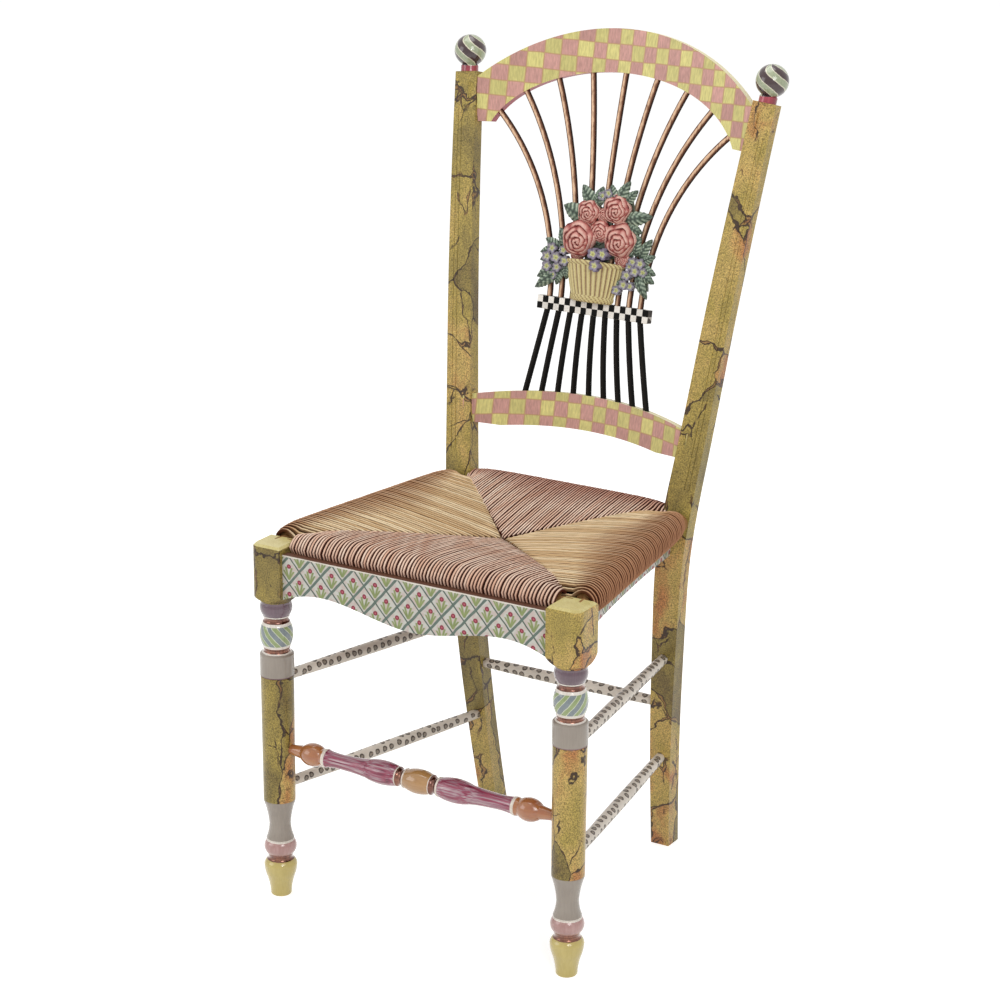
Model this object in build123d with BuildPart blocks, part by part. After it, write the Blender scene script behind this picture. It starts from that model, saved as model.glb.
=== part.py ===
"""Sheaf-back side chair: turned front legs, bowed back rails, rush seat and a flower-basket splat.

The chair faces -Y, +Z is up and the origin is on the floor under the middle of its depth and width.
All sizes are millimetres.
"""

from build123d import *
from math import asin, atan2, cos, degrees, radians, sin, sqrt
import os

os.makedirs("parts", exist_ok=True)

# ---------------------------------------------------------------- driving sizes: stance
front_y = -234.5            # front leg axes, measured from the middle of the chair's depth
front_leg_spacing = 403.0   # between the front leg axes
seat_depth = 340.0          # front leg axes to the rear posts' centre line at the knee
rear_foot_spacing = 256.0
rear_knee_spacing = 302.0
rear_top_spacing = 413.0
knee_height = 404.0         # where the rear posts turn from leg to back
post_height = 948.0
foot_sweep = 41.0           # how far the rear feet stand behind the knees
top_rake = 102.0            # how far the post tops stand behind the knees
back_bow = 7.5              # forward belly of the posts above the knee

# ---------------------------------------------------------------- driving sizes: rear posts
post_foot_width = 25.0
post_foot_depth = 26.0
post_knee_width = 36.5
post_knee_depth = 21.0
post_top_width = 31.0
post_top_depth = 16.0
groove_width = 0.9
groove_depth = 0.7
groove_places = (0.60, 0.76)  # shares of the post's width, from its inner edge

# ---------------------------------------------------------------- driving sizes: front legs
leg_radius = 20.0           # plain column, at its top
leg_lower_radius = 19.4     # plain column, at its bottom
block_width = 43.0
block_height = 71.5
block_top = 455.0
block_round = 11.0          # outer front corner of the block
block_top_bevel = 3.5
block_shoulder = 13.0       # height of the turned shoulder under the block

# ---------------------------------------------------------------- driving sizes: seat
rail_height = 449.0         # centre of the four hidden seat rails
rail_radius = 12.0
rail_tenon_radius = 6.0
rail_tenon_length = 14.0
rail_shoulder_gap = 6.0     # the thick part of a rail stops this short of the leg or post
rail_tenon_offset = 5.0     # side rails enter the posts this far outside the middle
roll_radius = 19.5          # rush wrapped round a rail
seat_dip = 25.0             # how far the seat's middle lies below the rolls' tops
seat_belly = 7.0            # how far the underside hangs below the rolls at the middle
seat_middle_share = 0.52    # middle of the weave, from the front rail to the rear rail

apron_top = 446.5
apron_thickness = 11.0
apron_setback = 5.5         # behind the front faces of the leg blocks
apron_end_depth = 56.0
apron_arch_depth = 44.0
apron_lobe_depth = 61.5
apron_arch_place = 0.74     # of the half length
side_apron_top = 424.0
side_apron_depth = 18.0
side_apron_arch = 5.0
side_apron_thickness = 9.0
apron_tenon_length = 12.0

# ---------------------------------------------------------------- driving sizes: stretchers
stretcher_radius = 7.6
stretcher_end_radius = 6.2
socket_depth = 15.0
lower_front_height = 142.5
lower_rear_height = 129.0
upper_front_height = 282.0
upper_rear_height = 267.0
rear_stretcher_height = 202.0
front_stretcher_height = 194.0

# ---------------------------------------------------------------- driving sizes: back
slat_thickness = 12.0
slat_tongue = 11.0          # how far a back rail goes into a post
crest_bow = 29.5
crest_setback = 5.5         # crest's front face behind the posts' front faces, at its ends
crest_low = 494.0           # heights measured up the leaning back from the knee
crest_shoulder = 549.0
crest_peak = 625.0
crest_arch_half = 175.0     # half axes of the crest's lower arch
crest_arch_rise = 106.0
crest_arch_foot = 168.0
lower_bow = 26.0
lower_setback = 4.5
lower_rail_low = 119.5
lower_rail_shoulder = 155.0
lower_rail_peak = 172.5
lower_arch_rise = 9.5
lower_arch_half = 110.0

spindle_count = 9
spindle_radius = 3.75
spindle_socket = 9.0
foot_pitch = 22.0           # between spindles on the lower rail
waist_pitch = 16.0          # between spindles at the tie bar
fan_step = 14.2             # degrees between the middle spindles round the crest's arch
fan_spread = 0.48           # degrees by which that step grows, spindle by spindle
sheaf_bend = 0.8            # share of the lower slope already reached at the tie bar

bar_low = 273.0
bar_height = 16.5
bar_length = 156.0
bar_depth = 12.0
bar_front = -4.0            # front face, measured forward from the back's chord plane

finial_ball_radius = 20.0
finial_neck_radius = 9.6
finial_neck_height = 9.0
finial_dowel_radius = 4.5
finial_dowel_length = 18.0

# ---------------------------------------------------------------- driving sizes: flower basket
board_thickness = 4.0
board_margin = 4.0          # board showing round each rose, where the leaves are seated
basket_base_width = 54.0
basket_rim_width = 74.0
basket_height = 46.0
basket_base_depth = 10.0
basket_rim_depth = 14.0
basket_rim_band = 6.0
swag_width = 9.0
leaf_thickness = 3.0
rose_depth = 0.62           # of its radius
roses = ((-25, 366, 19), (33, 371, 18), (-16, 400, 11.5), (25, 407, 15))       # x, y, radius
blossoms = ((2, 349, 6), (14.5, 347, 6), (8, 360.5, 5), (5, 384, 6))           # x, y, radius
leaves = (                                                    # x, y, length, turn in degrees
    (-44, 371, 28, 158),
    (-33, 384, 26, 132),
    (-15, 413, 24, 95),
    (23, 423, 22, 80),
    (40, 390, 28, 35),
    (-48, 350, 24, 200),
    (-62, 333, 26, 250),
    (50, 363, 26, -12),
    (64, 345, 26, -65),
)

# ---------------------------------------------------------------- clearances
fit = 0.15                  # round a tenon in its socket
seam = 0.1                  # between a shoulder and the face it meets
slat_seam = 0.4             # the same where a bowed rail meets a curved post
soft_fit = 0.3              # round the rush

# ---------------------------------------------------------------- derived places
leg_x = front_leg_spacing / 2
knee_y = front_y + seat_depth
block_bottom = block_top - block_height
block_inner = leg_x - block_width / 2
block_back = front_y + block_width / 2
back_height = post_height - knee_height
back_lean = degrees(atan2(top_rake, back_height))


def blend(first, last, share):
    """Straight-line mix of two sizes."""
    return first + (last - first) * share


def above_knee(height):
    """Share of the way from the knee to the post's top."""
    return (height - knee_height) / back_height


def post_size(foot, knee, top, height):
    """A post size that runs straight from foot to knee and from knee to top."""
    if height < knee_height:
        return blend(foot, knee, height / knee_height)
    return blend(knee, top, above_knee(height))


def post_x(height):
    """Centre line of the right post, sideways."""
    return post_size(rear_foot_spacing, rear_knee_spacing, rear_top_spacing, height) / 2


def post_y(height):
    """Centre line of a post, front to back: swept leg below the knee, bellied back above it."""
    if height < knee_height:
        return knee_y + foot_sweep * (1 - height / knee_height) ** 1.8
    share = above_knee(height)
    return knee_y + top_rake * share - 4 * back_bow * share * (1 - share)


def post_width(height):
    """Width of a post seen from the front."""
    return post_size(post_foot_width, post_knee_width, post_top_width, height)


def post_depth(height):
    """Depth of a post seen from the side."""
    return post_size(post_foot_depth, post_knee_depth, post_top_depth, height)


# The back's own plane leans with the posts: x to the right, y up the back, z towards the sitter.
back = Plane(
    origin=(0, knee_y, knee_height),
    x_dir=(1, 0, 0),
    z_dir=(0, -cos(radians(back_lean)), sin(radians(back_lean))),
)


def on_back(across, up, forward):
    """A point given in the back's own plane, in the chair's frame."""
    return back.from_local_coords(Vector(across, up, forward))


def up_to_height(up):
    """Height above the floor of a place on the back's plane."""
    return knee_height + up * cos(radians(back_lean))


def post_inner(up):
    """Inner face of the right post, at a place up the back."""
    height = up_to_height(up)
    return post_x(height) - post_width(height) / 2


def post_front(up):
    """Front face of a post, measured forward from the back's plane."""
    height = up_to_height(up)
    face = Vector(0, post_y(height) - post_depth(height) / 2, height)
    return back.to_local_coords(face).Z


def finish(piece, label):
    """Name a finished piece and write it out."""
    piece.part.label = label
    export_step(piece.part, f"parts/{label}.step")


def mirrored(piece):
    """The same piece for the left side of the chair."""
    with BuildPart() as other:
        mirror(piece.part, about=Plane.YZ)
    return other


# ---------------------------------------------------------------- turned sticks
def side_plane(start, end):
    """Plane through a stick's axis: local y runs along the stick, local x away from it."""
    along = (Vector(end) - Vector(start)).normalized()
    out = along.cross(Vector(1, 1, 1)).normalized()    # no stick runs along this diagonal
    return Plane(origin=start, x_dir=out, z_dir=out.cross(along))


def turning(start, end, stops):
    """Turn a solid round the line from start to end.

    Each stop is (distance, radius, half-way radius): the half-way radius bends the surface
    between this stop and the one before it, and None leaves it straight.
    """
    with BuildPart() as turned:
        with BuildSketch(side_plane(start, end)):
            with BuildLine():
                Line((0, stops[0][0]), (stops[0][1], stops[0][0]))
                for below, above in zip(stops, stops[1:]):
                    lower = (below[1], below[0])
                    upper = (above[1], above[0])
                    if above[2] is None:
                        Line(lower, upper)
                    else:
                        ThreePointArc(lower, (above[2], (below[0] + above[0]) / 2), upper)
                Line((stops[-1][1], stops[-1][0]), (0, stops[-1][0]))
                Line((0, stops[-1][0]), (0, stops[0][0]))
            make_face()
        revolve(axis=Axis(start, Vector(end) - Vector(start)))
    return turned


def peg(start, end, radius):
    """A plain round peg, used to cut the socket that a stick's end goes into."""
    length = (Vector(end) - Vector(start)).length
    return turning(start, end, [(0, radius, None), (length, radius, None)])


def socket(tip, other_end, radius, depth):
    """Cutter for a round socket whose bottom is at the stick's tip."""
    tip = Vector(tip)
    along = (Vector(other_end) - tip).normalized()
    return peg(tip - along * seam, tip + along * depth, radius + fit).part


def plain_stretcher(start, end):
    """A stretcher that swells a little towards its middle, with straight ends for its sockets."""
    length = (Vector(end) - Vector(start)).length
    stops = [
        (0, stretcher_end_radius, None),
        (socket_depth, stretcher_end_radius, None),
        (length - socket_depth, stretcher_end_radius, stretcher_radius),
        (length, stretcher_end_radius, None),
    ]
    return turning(start, end, stops)


def side_stretcher_ends(front_height, rear_height):
    """Ends of a right side stretcher, each inside its socket."""
    leg_centre = Vector(leg_x, front_y, front_height)
    post_face = Vector(
        post_x(rear_height), post_y(rear_height) - post_depth(rear_height) / 2, rear_height
    )
    along = (post_face - leg_centre).normalized()
    return leg_centre + along * (leg_radius - socket_depth), post_face + along * socket_depth


lower_ends = side_stretcher_ends(lower_front_height, lower_rear_height)
upper_ends = side_stretcher_ends(upper_front_height, upper_rear_height)

rear_stretcher_x = (
    post_x(rear_stretcher_height) - post_width(rear_stretcher_height) / 2 + socket_depth
)
rear_stretcher_y = post_y(rear_stretcher_height)
rear_stretcher_end = (rear_stretcher_x, rear_stretcher_y, rear_stretcher_height)
rear_stretcher_start = (-rear_stretcher_x, rear_stretcher_y, rear_stretcher_height)

front_stretcher_x = leg_x - leg_radius + socket_depth
front_stretcher_end = (front_stretcher_x, front_y, front_stretcher_height)
front_stretcher_start = (-front_stretcher_x, front_y, front_stretcher_height)


def front_stretcher():
    """Turned front stretcher: vases at the ends, long balusters, a bead in the middle."""
    half = [
        (-front_stretcher_x, stretcher_end_radius, None),
        (-front_stretcher_x + socket_depth, stretcher_end_radius, None),
        (-165.0, 8.6, 7.2),
        (-137.5, 10.2, 14.2),
        (-134.5, 11.0, None),
        (-128.0, 10.3, 11.4),
        (-100.0, 9.4, 9.1),
        (-72.0, 11.6, 10.0),
        (-31.5, 12.2, 14.6),
        (-29.5, 11.2, None),
        (-27.0, 11.4, 12.0),
        (-19.5, 11.4, 9.6),
        (-17.0, 11.6, 12.2),
    ]
    other_half = [(-half[-1][0], half[-1][1], 15.0)]
    for nearer, farther in zip(reversed(half), reversed(half[:-1])):
        other_half.append((-farther[0], farther[1], nearer[2]))
    stops = [(place + front_stretcher_x, radius, bend) for place, radius, bend in half + other_half]
    return turning(front_stretcher_start, front_stretcher_end, stops)


# ---------------------------------------------------------------- seat rails
side_rail_inset = roll_radius - 1.0   # side rails lie this far inside the blocks' outer faces


def rail_ends_side():
    """Axis points of the right seat rail, on the block's back face and the post's front face."""
    front = Vector(leg_x + block_width / 2 - side_rail_inset, block_back, rail_height)
    rear_face = post_y(rail_height) - post_depth(rail_height) / 2
    return front, Vector(post_x(rail_height) + rail_tenon_offset, rear_face, rail_height)


side_rail_front, side_rail_rear = rail_ends_side()
front_rail_y = front_y - block_width / 2 + apron_setback + apron_thickness + soft_fit + roll_radius
front_rail_left = Vector(-block_inner, front_rail_y, rail_height)
front_rail_right = Vector(block_inner, front_rail_y, rail_height)
rear_rail_x = post_x(rail_height) - post_width(rail_height) / 2
rear_rail_y = post_y(rail_height)
rear_rail_left = Vector(-rear_rail_x, rear_rail_y, rail_height)
rear_rail_right = Vector(rear_rail_x, rear_rail_y, rail_height)


def seat_rail(first, second, grow=0.0):
    """A round seat rail between two faces, with a smaller tenon past each."""
    along = (second - first).normalized()
    start = first - along * rail_tenon_length
    end = second + along * rail_tenon_length
    length = (end - start).length
    shoulder = rail_tenon_length + rail_shoulder_gap - grow
    stops = [
        (0, rail_tenon_radius + grow, None),
        (shoulder, rail_tenon_radius + grow, None),
        (shoulder, rail_radius + grow, None),
        (length - shoulder, rail_radius + grow, None),
        (length - shoulder, rail_tenon_radius + grow, None),
        (length, rail_tenon_radius + grow, None),
    ]
    return turning(start, end, stops)


def tenon_hole(face_point, inner_point):
    """Cutter for a seat rail's socket, through the face at face_point."""
    inward = (face_point - inner_point).normalized()
    tip = face_point + inward * rail_tenon_length
    return socket(tip, inner_point, rail_tenon_radius, rail_tenon_length + 6)


# ---------------------------------------------------------------- boards with two tongues
def board_tongue(face, grow=0.0, reach=0.0):
    """Tongues at both ends of an apron: a plain tenon centred in the board's thickness."""
    plane, length, low, high, thickness = face
    with BuildPart() as tongue:
        with BuildSketch(plane):
            with Locations((length / 2, (low + high) / 2)):
                Rectangle(length + 2 * (apron_tenon_length + reach), high - low + 2 * grow)
        extrude(amount=thickness / 2 + grow, both=True)
    return tongue


def front_apron_face():
    """Mid-thickness plane of the front apron, its length and its tongue's limits."""
    middle = front_y - block_width / 2 + apron_setback + apron_thickness / 2
    plane = Plane(origin=(-block_inner, middle, 0), x_dir=(1, 0, 0), z_dir=(0, -1, 0))
    return plane, 2 * block_inner, apron_top - 40.0, apron_top - 8.0, apron_thickness - 4.0


def side_apron_face():
    """Mid-thickness plane of the right side apron, its length and its tongue's limits."""
    start = Vector(side_rail_front.X - 7.0, block_back, 0)
    rear_height = side_apron_top - side_apron_depth / 2
    end = Vector(post_x(rear_height) - 5.0, post_y(rear_height) - post_depth(rear_height) / 2, 0)
    along = end - start
    plane = Plane(origin=start, x_dir=along, z_dir=along.cross(Vector(0, 0, 1)))
    low = side_apron_top - side_apron_depth + side_apron_arch + 2.0
    return plane, along.length, low, side_apron_top - 2.0, side_apron_thickness - 3.0


def front_apron():
    """Front apron with a centre lobe, two shallow arches and a drop at each leg."""
    face = front_apron_face()
    plane, length, low, high, thickness = face
    middle = length / 2
    arch = middle * apron_arch_place
    with BuildPart() as board:
        with BuildSketch(plane):
            with BuildLine():
                Polyline(
                    (seam, apron_top - apron_end_depth),
                    (seam, apron_top),
                    (length - seam, apron_top),
                    (length - seam, apron_top - apron_end_depth),
                )
                Spline(
                    (length - seam, apron_top - apron_end_depth),
                    (middle + arch, apron_top - apron_arch_depth),
                    (middle, apron_top - apron_lobe_depth),
                    (middle - arch, apron_top - apron_arch_depth),
                    (seam, apron_top - apron_end_depth),
                )
            make_face()
        extrude(amount=apron_thickness / 2, both=True)
        add(board_tongue(face).part)
    return board


def side_apron():
    """Right side apron: a low strip under the rush, its lower edge a flat arch."""
    face = side_apron_face()
    plane, length, low, high, thickness = face
    bottom = side_apron_top - side_apron_depth
    slack = 2.6                       # the strip stops short of the two faces it stands between
    with BuildPart() as board:
        with BuildSketch(plane):
            with BuildLine():
                Polyline(
                    (slack, bottom),
                    (slack, side_apron_top),
                    (length - slack, side_apron_top),
                    (length - slack, bottom),
                )
                ThreePointArc(
                    (length - slack, bottom), (length / 2, bottom + side_apron_arch), (slack, bottom)
                )
            make_face()
        extrude(amount=side_apron_thickness / 2, both=True)
        add(board_tongue(face).part)
    return board


# ---------------------------------------------------------------- front legs
def block_blank(grow=0.0):
    """Square block of the right front leg, its outer front corner rounded."""
    side = block_width + 2 * grow
    with BuildPart() as block:
        with BuildSketch(Plane.XY.offset(block_bottom)):
            with Locations((leg_x, front_y)):
                Rectangle(side, side)
        extrude(amount=block_height + grow)
        corner = block.edges().filter_by(Axis.Z).sort_by(Axis.X)[-2:].sort_by(Axis.Y)[0]
        fillet(corner, block_round)
    return block


def leg_stops():
    """Turned profile of a front leg, from the foot up to the block."""
    foot = [
        (0.0, 12.0, None),
        (1.5, 12.8, None),
        (24.0, 17.0, 14.1),
        (40.0, 20.3, 19.4),
        (47.5, 16.2, 19.2),
        (52.0, 15.3, 14.9),
        (55.0, 16.2, None),
        (73.0, 16.2, 19.9),
        (75.0, 17.0, None),
        (94.0, 13.2, 14.2),
        (124.0, 19.3, 15.2),
        (126.0, leg_lower_radius, None),
    ]
    crown = [
        (-98.0, leg_radius, None),
        (-97.0, leg_radius - 0.7, None),
        (-96.0, leg_radius + 0.6, None),
        (-69.0, leg_radius + 0.6, None),
        (-67.5, leg_radius - 0.8, None),
        (-60.5, 16.6, 15.8),
        (-58.5, 16.8, None),
        (-29.5, 16.8, 20.2),
        (-27.5, 16.4, None),
        (-21.0, 16.4, 15.0),
        (-18.5, 17.2, None),
        (-4.0, 18.6, 19.6),
        (0.0, 18.6, None),
    ]
    return foot + [(block_bottom + drop, radius, bend) for drop, radius, bend in crown]


def front_leg():
    """Right front leg: turned from the foot to the block, with sockets for all that meets it."""
    block = block_blank()
    shoulder_radius = block_width / 2 * sqrt(2) + 1
    shoulder = turning(
        (leg_x, front_y, block_bottom),
        (leg_x, front_y, block_top),
        [
            (0, leg_radius - 1.0, None),
            (block_shoulder, shoulder_radius, leg_radius + 7.5),
            (block_height, shoulder_radius, None),
        ],
    )
    column = turning((leg_x, front_y, 0), (leg_x, front_y, block_top), leg_stops())
    with BuildPart() as leg:
        add(block.part)
        add(shoulder.part, mode=Mode.INTERSECT)
        chamfer(leg.faces().sort_by(Axis.Z)[-1].edges(), block_top_bevel)
        add(column.part)
        add(board_tongue(front_apron_face(), fit, seam).part, mode=Mode.SUBTRACT)
        add(board_tongue(side_apron_face(), fit, seam).part, mode=Mode.SUBTRACT)
        add(tenon_hole(front_rail_right, front_rail_left), mode=Mode.SUBTRACT)
        add(tenon_hole(side_rail_front, side_rail_rear), mode=Mode.SUBTRACT)
        for start, end in (
            lower_ends, upper_ends, (Vector(front_stretcher_end), front_stretcher_start)
        ):
            add(socket(start, end, stretcher_end_radius, 2 * leg_radius), mode=Mode.SUBTRACT)
    return leg


# ---------------------------------------------------------------- rear posts
def post_heights():
    """Heights at which a post's outline is set out, past the top so that it can be trimmed."""
    leg_heights = [knee_height * share for share in (0, 0.25, 0.5, 0.75)]
    back_heights = [knee_height + back_height * share for share in (0, 0.25, 0.5, 0.75, 1.03)]
    return leg_heights + back_heights


def band(plane, place, size, near, far, grow):
    """Face between two shares of a post's width or depth, followed up the whole post."""
    heights = post_heights()
    first = [(place(h) + (near - 0.5) * size(h) - grow, h) for h in heights]
    second = [(place(h) + (far - 0.5) * size(h) + grow, h) for h in heights]
    with BuildSketch(plane) as face:
        with BuildLine():
            Spline(*first)
            Spline(*second)
            Line(first[0], second[0])
            Line(first[-1], second[-1])
        make_face()
    return face


def prism(face, reach):
    """A sketch drawn out both ways from its plane."""
    with BuildPart() as block:
        extrude(face.sketch, amount=reach, both=True)
    return block


def post_blank(near=0.0, far=1.0, front=0.0, rear=1.0, grow=0.0):
    """The right post's outer form, or a strip of it between shares of its width and depth."""
    side_view = band(Plane.YZ, post_y, post_depth, front, rear, grow)
    front_view = band(Plane.XZ, post_x, post_width, near, far, grow)
    with BuildPart() as blank:
        add(prism(side_view, front_leg_spacing).part)
        add(prism(front_view, 2 * seat_depth).part, mode=Mode.INTERSECT)
    return blank


def groove(place):
    """Cutter for a fine incised line up the front of the right post, above the seat."""
    share = groove_width / post_knee_width
    low = rail_height + 2 * roll_radius
    with BuildPart() as strip:
        add(post_blank(place, place + share, -0.5, groove_depth / post_knee_depth).part)
        with BuildSketch(Plane.XY.offset(low)):
            Rectangle(4 * front_leg_spacing, 4 * seat_depth)
        extrude(amount=post_height - 2 * roll_radius - low, mode=Mode.INTERSECT)
    return strip


def post_top_plane():
    """Plane across the right post's top, square to the post's axis there."""
    top = Vector(post_x(post_height), post_y(post_height), post_height)
    below = post_height - 20.0
    return Plane(origin=top, z_dir=top - Vector(post_x(below), post_y(below), below))


def rear_post():
    """Right rear post: leg and back upright in one, trimmed, grooved and mortised."""
    with BuildPart() as post:
        add(post_blank().part)
        split(bisect_by=post_top_plane(), keep=Keep.BOTTOM)
        for place in groove_places:
            add(groove(place).part, mode=Mode.SUBTRACT)
        for tongue in (crest_tongues(fit), lower_tongues(fit)):
            add(tongue.part, mode=Mode.SUBTRACT)
        add(board_tongue(side_apron_face(), fit, seam).part, mode=Mode.SUBTRACT)
        add(tenon_hole(side_rail_rear, side_rail_front), mode=Mode.SUBTRACT)
        add(tenon_hole(rear_rail_right, rear_rail_left), mode=Mode.SUBTRACT)
        for start, end in (lower_ends, upper_ends):
            add(socket(end, start, stretcher_end_radius, 2 * socket_depth), mode=Mode.SUBTRACT)
        add(
            socket(rear_stretcher_end, rear_stretcher_start, stretcher_end_radius, 2 * socket_depth),
            mode=Mode.SUBTRACT,
        )
        with BuildSketch(post_top_plane()):
            Circle(finial_dowel_radius + fit)
        extrude(amount=-finial_dowel_length - seam, mode=Mode.SUBTRACT)
    return post


def finial():
    """Right finial: a ball on a collar, with a dowel that goes down into the post."""
    plane = post_top_plane()
    base = finial_neck_height
    seat_drop = sqrt(finial_ball_radius ** 2 - finial_neck_radius ** 2)
    centre = base + seat_drop
    with BuildPart() as knob:
        with BuildSketch(plane):
            Circle(finial_dowel_radius)
        extrude(amount=-finial_dowel_length)
        with BuildSketch(plane):
            Circle(finial_neck_radius + 1.4)
        extrude(amount=base)
        chamfer(knob.faces().sort_by(Axis.Z)[-1].edges(), 1.4)
        with Locations(plane.offset(centre)):
            Sphere(finial_ball_radius)
    return knob


# ---------------------------------------------------------------- bowed back rails
def bow_depth(across, half_chord, sagitta):
    """How far a bowed board lies behind its own chord."""
    radius = (half_chord ** 2 + sagitta ** 2) / (2 * sagitta)
    return sqrt(radius ** 2 - across ** 2) - (radius - sagitta)


def bowed_slab(half_chord, sagitta, front, low, high, grow=0.0):
    """A curved sheet as thick as a back rail, following its bow, between two heights."""
    radius = (half_chord ** 2 + sagitta ** 2) / (2 * sagitta)
    middle = (low + high) / 2
    plan = Plane(origin=on_back(0, middle, 0), x_dir=(1, 0, 0), z_dir=-back.y_dir)
    with BuildPart() as slab:
        with BuildSketch(plan):
            with Locations((0, front - sagitta + radius)):
                Circle(radius + slat_thickness + grow)
                Circle(radius - grow, mode=Mode.SUBTRACT)
            Rectangle(4 * half_chord, 4 * half_chord, mode=Mode.INTERSECT)
        extrude(amount=(high - low) / 2, both=True)
    return slab


def tongues(half_chord, sagitta, front, low, high, grow):
    """The two ends of a back rail that lie inside the posts."""
    with BuildPart() as ends:
        with BuildSketch(back):
            with BuildLine():
                Polyline(
                    (post_inner(low) - slat_tongue, low - grow),
                    (post_inner(low) + slat_tongue + seam * (grow > 0), low - grow),
                    (post_inner(high) + slat_tongue + seam * (grow > 0), high + grow),
                    (post_inner(high) - slat_tongue, high + grow),
                    close=True,
                )
            make_face()
            mirror(about=Plane.YZ)
        extrude(amount=half_chord, both=True)
        add(bowed_slab(half_chord, sagitta, front, low - 5, high + 5, grow).part, mode=Mode.INTERSECT)
    return ends


crest_half = post_inner(crest_low)
crest_front = post_front(crest_low) - crest_setback
lower_half = post_inner(lower_rail_low)
lower_front = post_front(lower_rail_low) - lower_setback


def crest_tongues(grow=0.0):
    """Ends of the crest rail inside the posts."""
    low = crest_low + 6
    high = crest_shoulder - 8
    return tongues(crest_half, crest_bow, crest_front, low, high, grow)


def lower_tongues(grow=0.0):
    """Ends of the lower back rail inside the posts."""
    low = lower_rail_low + 4
    high = lower_rail_shoulder - 4
    return tongues(lower_half, lower_bow, lower_front, low, high, grow)


def crest_rail():
    """Crest rail: round-arched above, elliptical arch below, bowed to the sitter's back."""
    arch_centre = crest_peak - 53.5 - crest_arch_rise
    foot_up = arch_centre + crest_arch_rise * sqrt(1 - (crest_arch_foot / crest_arch_half) ** 2)
    with BuildPart() as rail:
        with BuildSketch(back):
            with BuildLine():
                Polyline(
                    (crest_arch_foot, foot_up),
                    (post_inner(crest_low) - slat_seam, crest_low),
                    (post_inner(crest_shoulder) - slat_seam, crest_shoulder),
                )
                Polyline(
                    (-crest_arch_foot, foot_up),
                    (-post_inner(crest_low) + slat_seam, crest_low),
                    (-post_inner(crest_shoulder) + slat_seam, crest_shoulder),
                )
                ThreePointArc(
                    (-post_inner(crest_shoulder) + slat_seam, crest_shoulder),
                    (0, crest_peak),
                    (post_inner(crest_shoulder) - slat_seam, crest_shoulder),
                )
                share = degrees(asin(crest_arch_foot / crest_arch_half))
                EllipticalCenterArc(
                    (0, arch_centre),
                    crest_arch_half,
                    crest_arch_rise,
                    start_angle=90 - share,
                    arc_size=2 * share,
                )
            make_face()
        extrude(amount=crest_half, both=True)
        slab = bowed_slab(crest_half, crest_bow, crest_front, crest_low - 20, crest_peak + 20)
        add(slab.part, mode=Mode.INTERSECT)
        add(crest_tongues().part)
        for index in range(spindle_count):
            add(spindle(index, spindle_radius + fit).part, mode=Mode.SUBTRACT)
    return rail


def lower_back_rail():
    """Lower back rail: arched along the top, hollowed along the bottom, bowed like the crest."""
    with BuildPart() as rail:
        with BuildSketch(back):
            with BuildLine():
                ThreePointArc(
                    (-post_inner(lower_rail_shoulder) + slat_seam, lower_rail_shoulder),
                    (0, lower_rail_peak),
                    (post_inner(lower_rail_shoulder) - slat_seam, lower_rail_shoulder),
                )
                Polyline(
                    (post_inner(lower_rail_shoulder) - slat_seam, lower_rail_shoulder),
                    (post_inner(lower_rail_low) - slat_seam, lower_rail_low),
                    (lower_arch_half, lower_rail_low),
                )
                ThreePointArc(
                    (lower_arch_half, lower_rail_low),
                    (0, lower_rail_low + lower_arch_rise),
                    (-lower_arch_half, lower_rail_low),
                )
                Polyline(
                    (-lower_arch_half, lower_rail_low),
                    (-post_inner(lower_rail_low) + slat_seam, lower_rail_low),
                    (-post_inner(lower_rail_shoulder) + slat_seam, lower_rail_shoulder),
                )
            make_face()
        extrude(amount=lower_half, both=True)
        slab = bowed_slab(
            lower_half, lower_bow, lower_front, lower_rail_low - 20, lower_rail_peak + 20
        )
        add(slab.part, mode=Mode.INTERSECT)
        add(lower_tongues().part)
        for index in range(spindle_count):
            add(spindle(index, spindle_radius + fit).part, mode=Mode.SUBTRACT)
    return rail


# ---------------------------------------------------------------- spindles and tie bar
def spindle_points(index):
    """Foot, bar underside, bar top and tip of a spindle's centre line."""
    place = index - (spindle_count - 1) / 2
    foot_across = place * foot_pitch
    waist_across = place * waist_pitch
    angle = radians(place * (fan_step + fan_spread * abs(place)))
    arch_centre = crest_peak - 53.5 - crest_arch_rise
    tip_across = (crest_arch_half + spindle_socket) * sin(angle)
    tip_up = arch_centre + (crest_arch_rise + spindle_socket) * cos(angle)
    crest_middle = crest_front - slat_thickness / 2 - bow_depth(tip_across, crest_half, crest_bow)
    lower_middle = lower_front - slat_thickness / 2 - bow_depth(foot_across, lower_half, lower_bow)
    foot_up = blend(lower_rail_peak, lower_rail_shoulder, (foot_across / lower_half) ** 2)
    waist_forward = bar_front - bar_depth / 2
    slope = (foot_across - waist_across) / (bar_low - foot_up)
    shift = sheaf_bend * slope * bar_height / 2
    return (
        on_back(foot_across, foot_up - spindle_socket, lower_middle),
        on_back(waist_across + shift, bar_low, waist_forward),
        on_back(waist_across, bar_low + bar_height, waist_forward),
        on_back(tip_across, tip_up, crest_middle),
    )


def spindle(index, radius=spindle_radius):
    """One bent spindle, from the lower rail through the tie bar and out to the crest."""
    foot, underside, waist, tip = spindle_points(index)
    with BuildPart() as rod:
        with BuildLine() as path:
            TangentArc(waist, tip, tangent=back.y_dir)
            if abs((underside - waist).X) > 0.01:
                through_bar = TangentArc(waist, underside, tangent=-back.y_dir)
            else:
                through_bar = Line(waist, underside)
            TangentArc(underside, foot, tangent=through_bar % 1)
        line = path.wires()[0]
        with BuildSketch(Plane(origin=line @ 0, z_dir=line % 0)):
            Circle(radius)
        sweep(path=line)
    return rod


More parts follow.
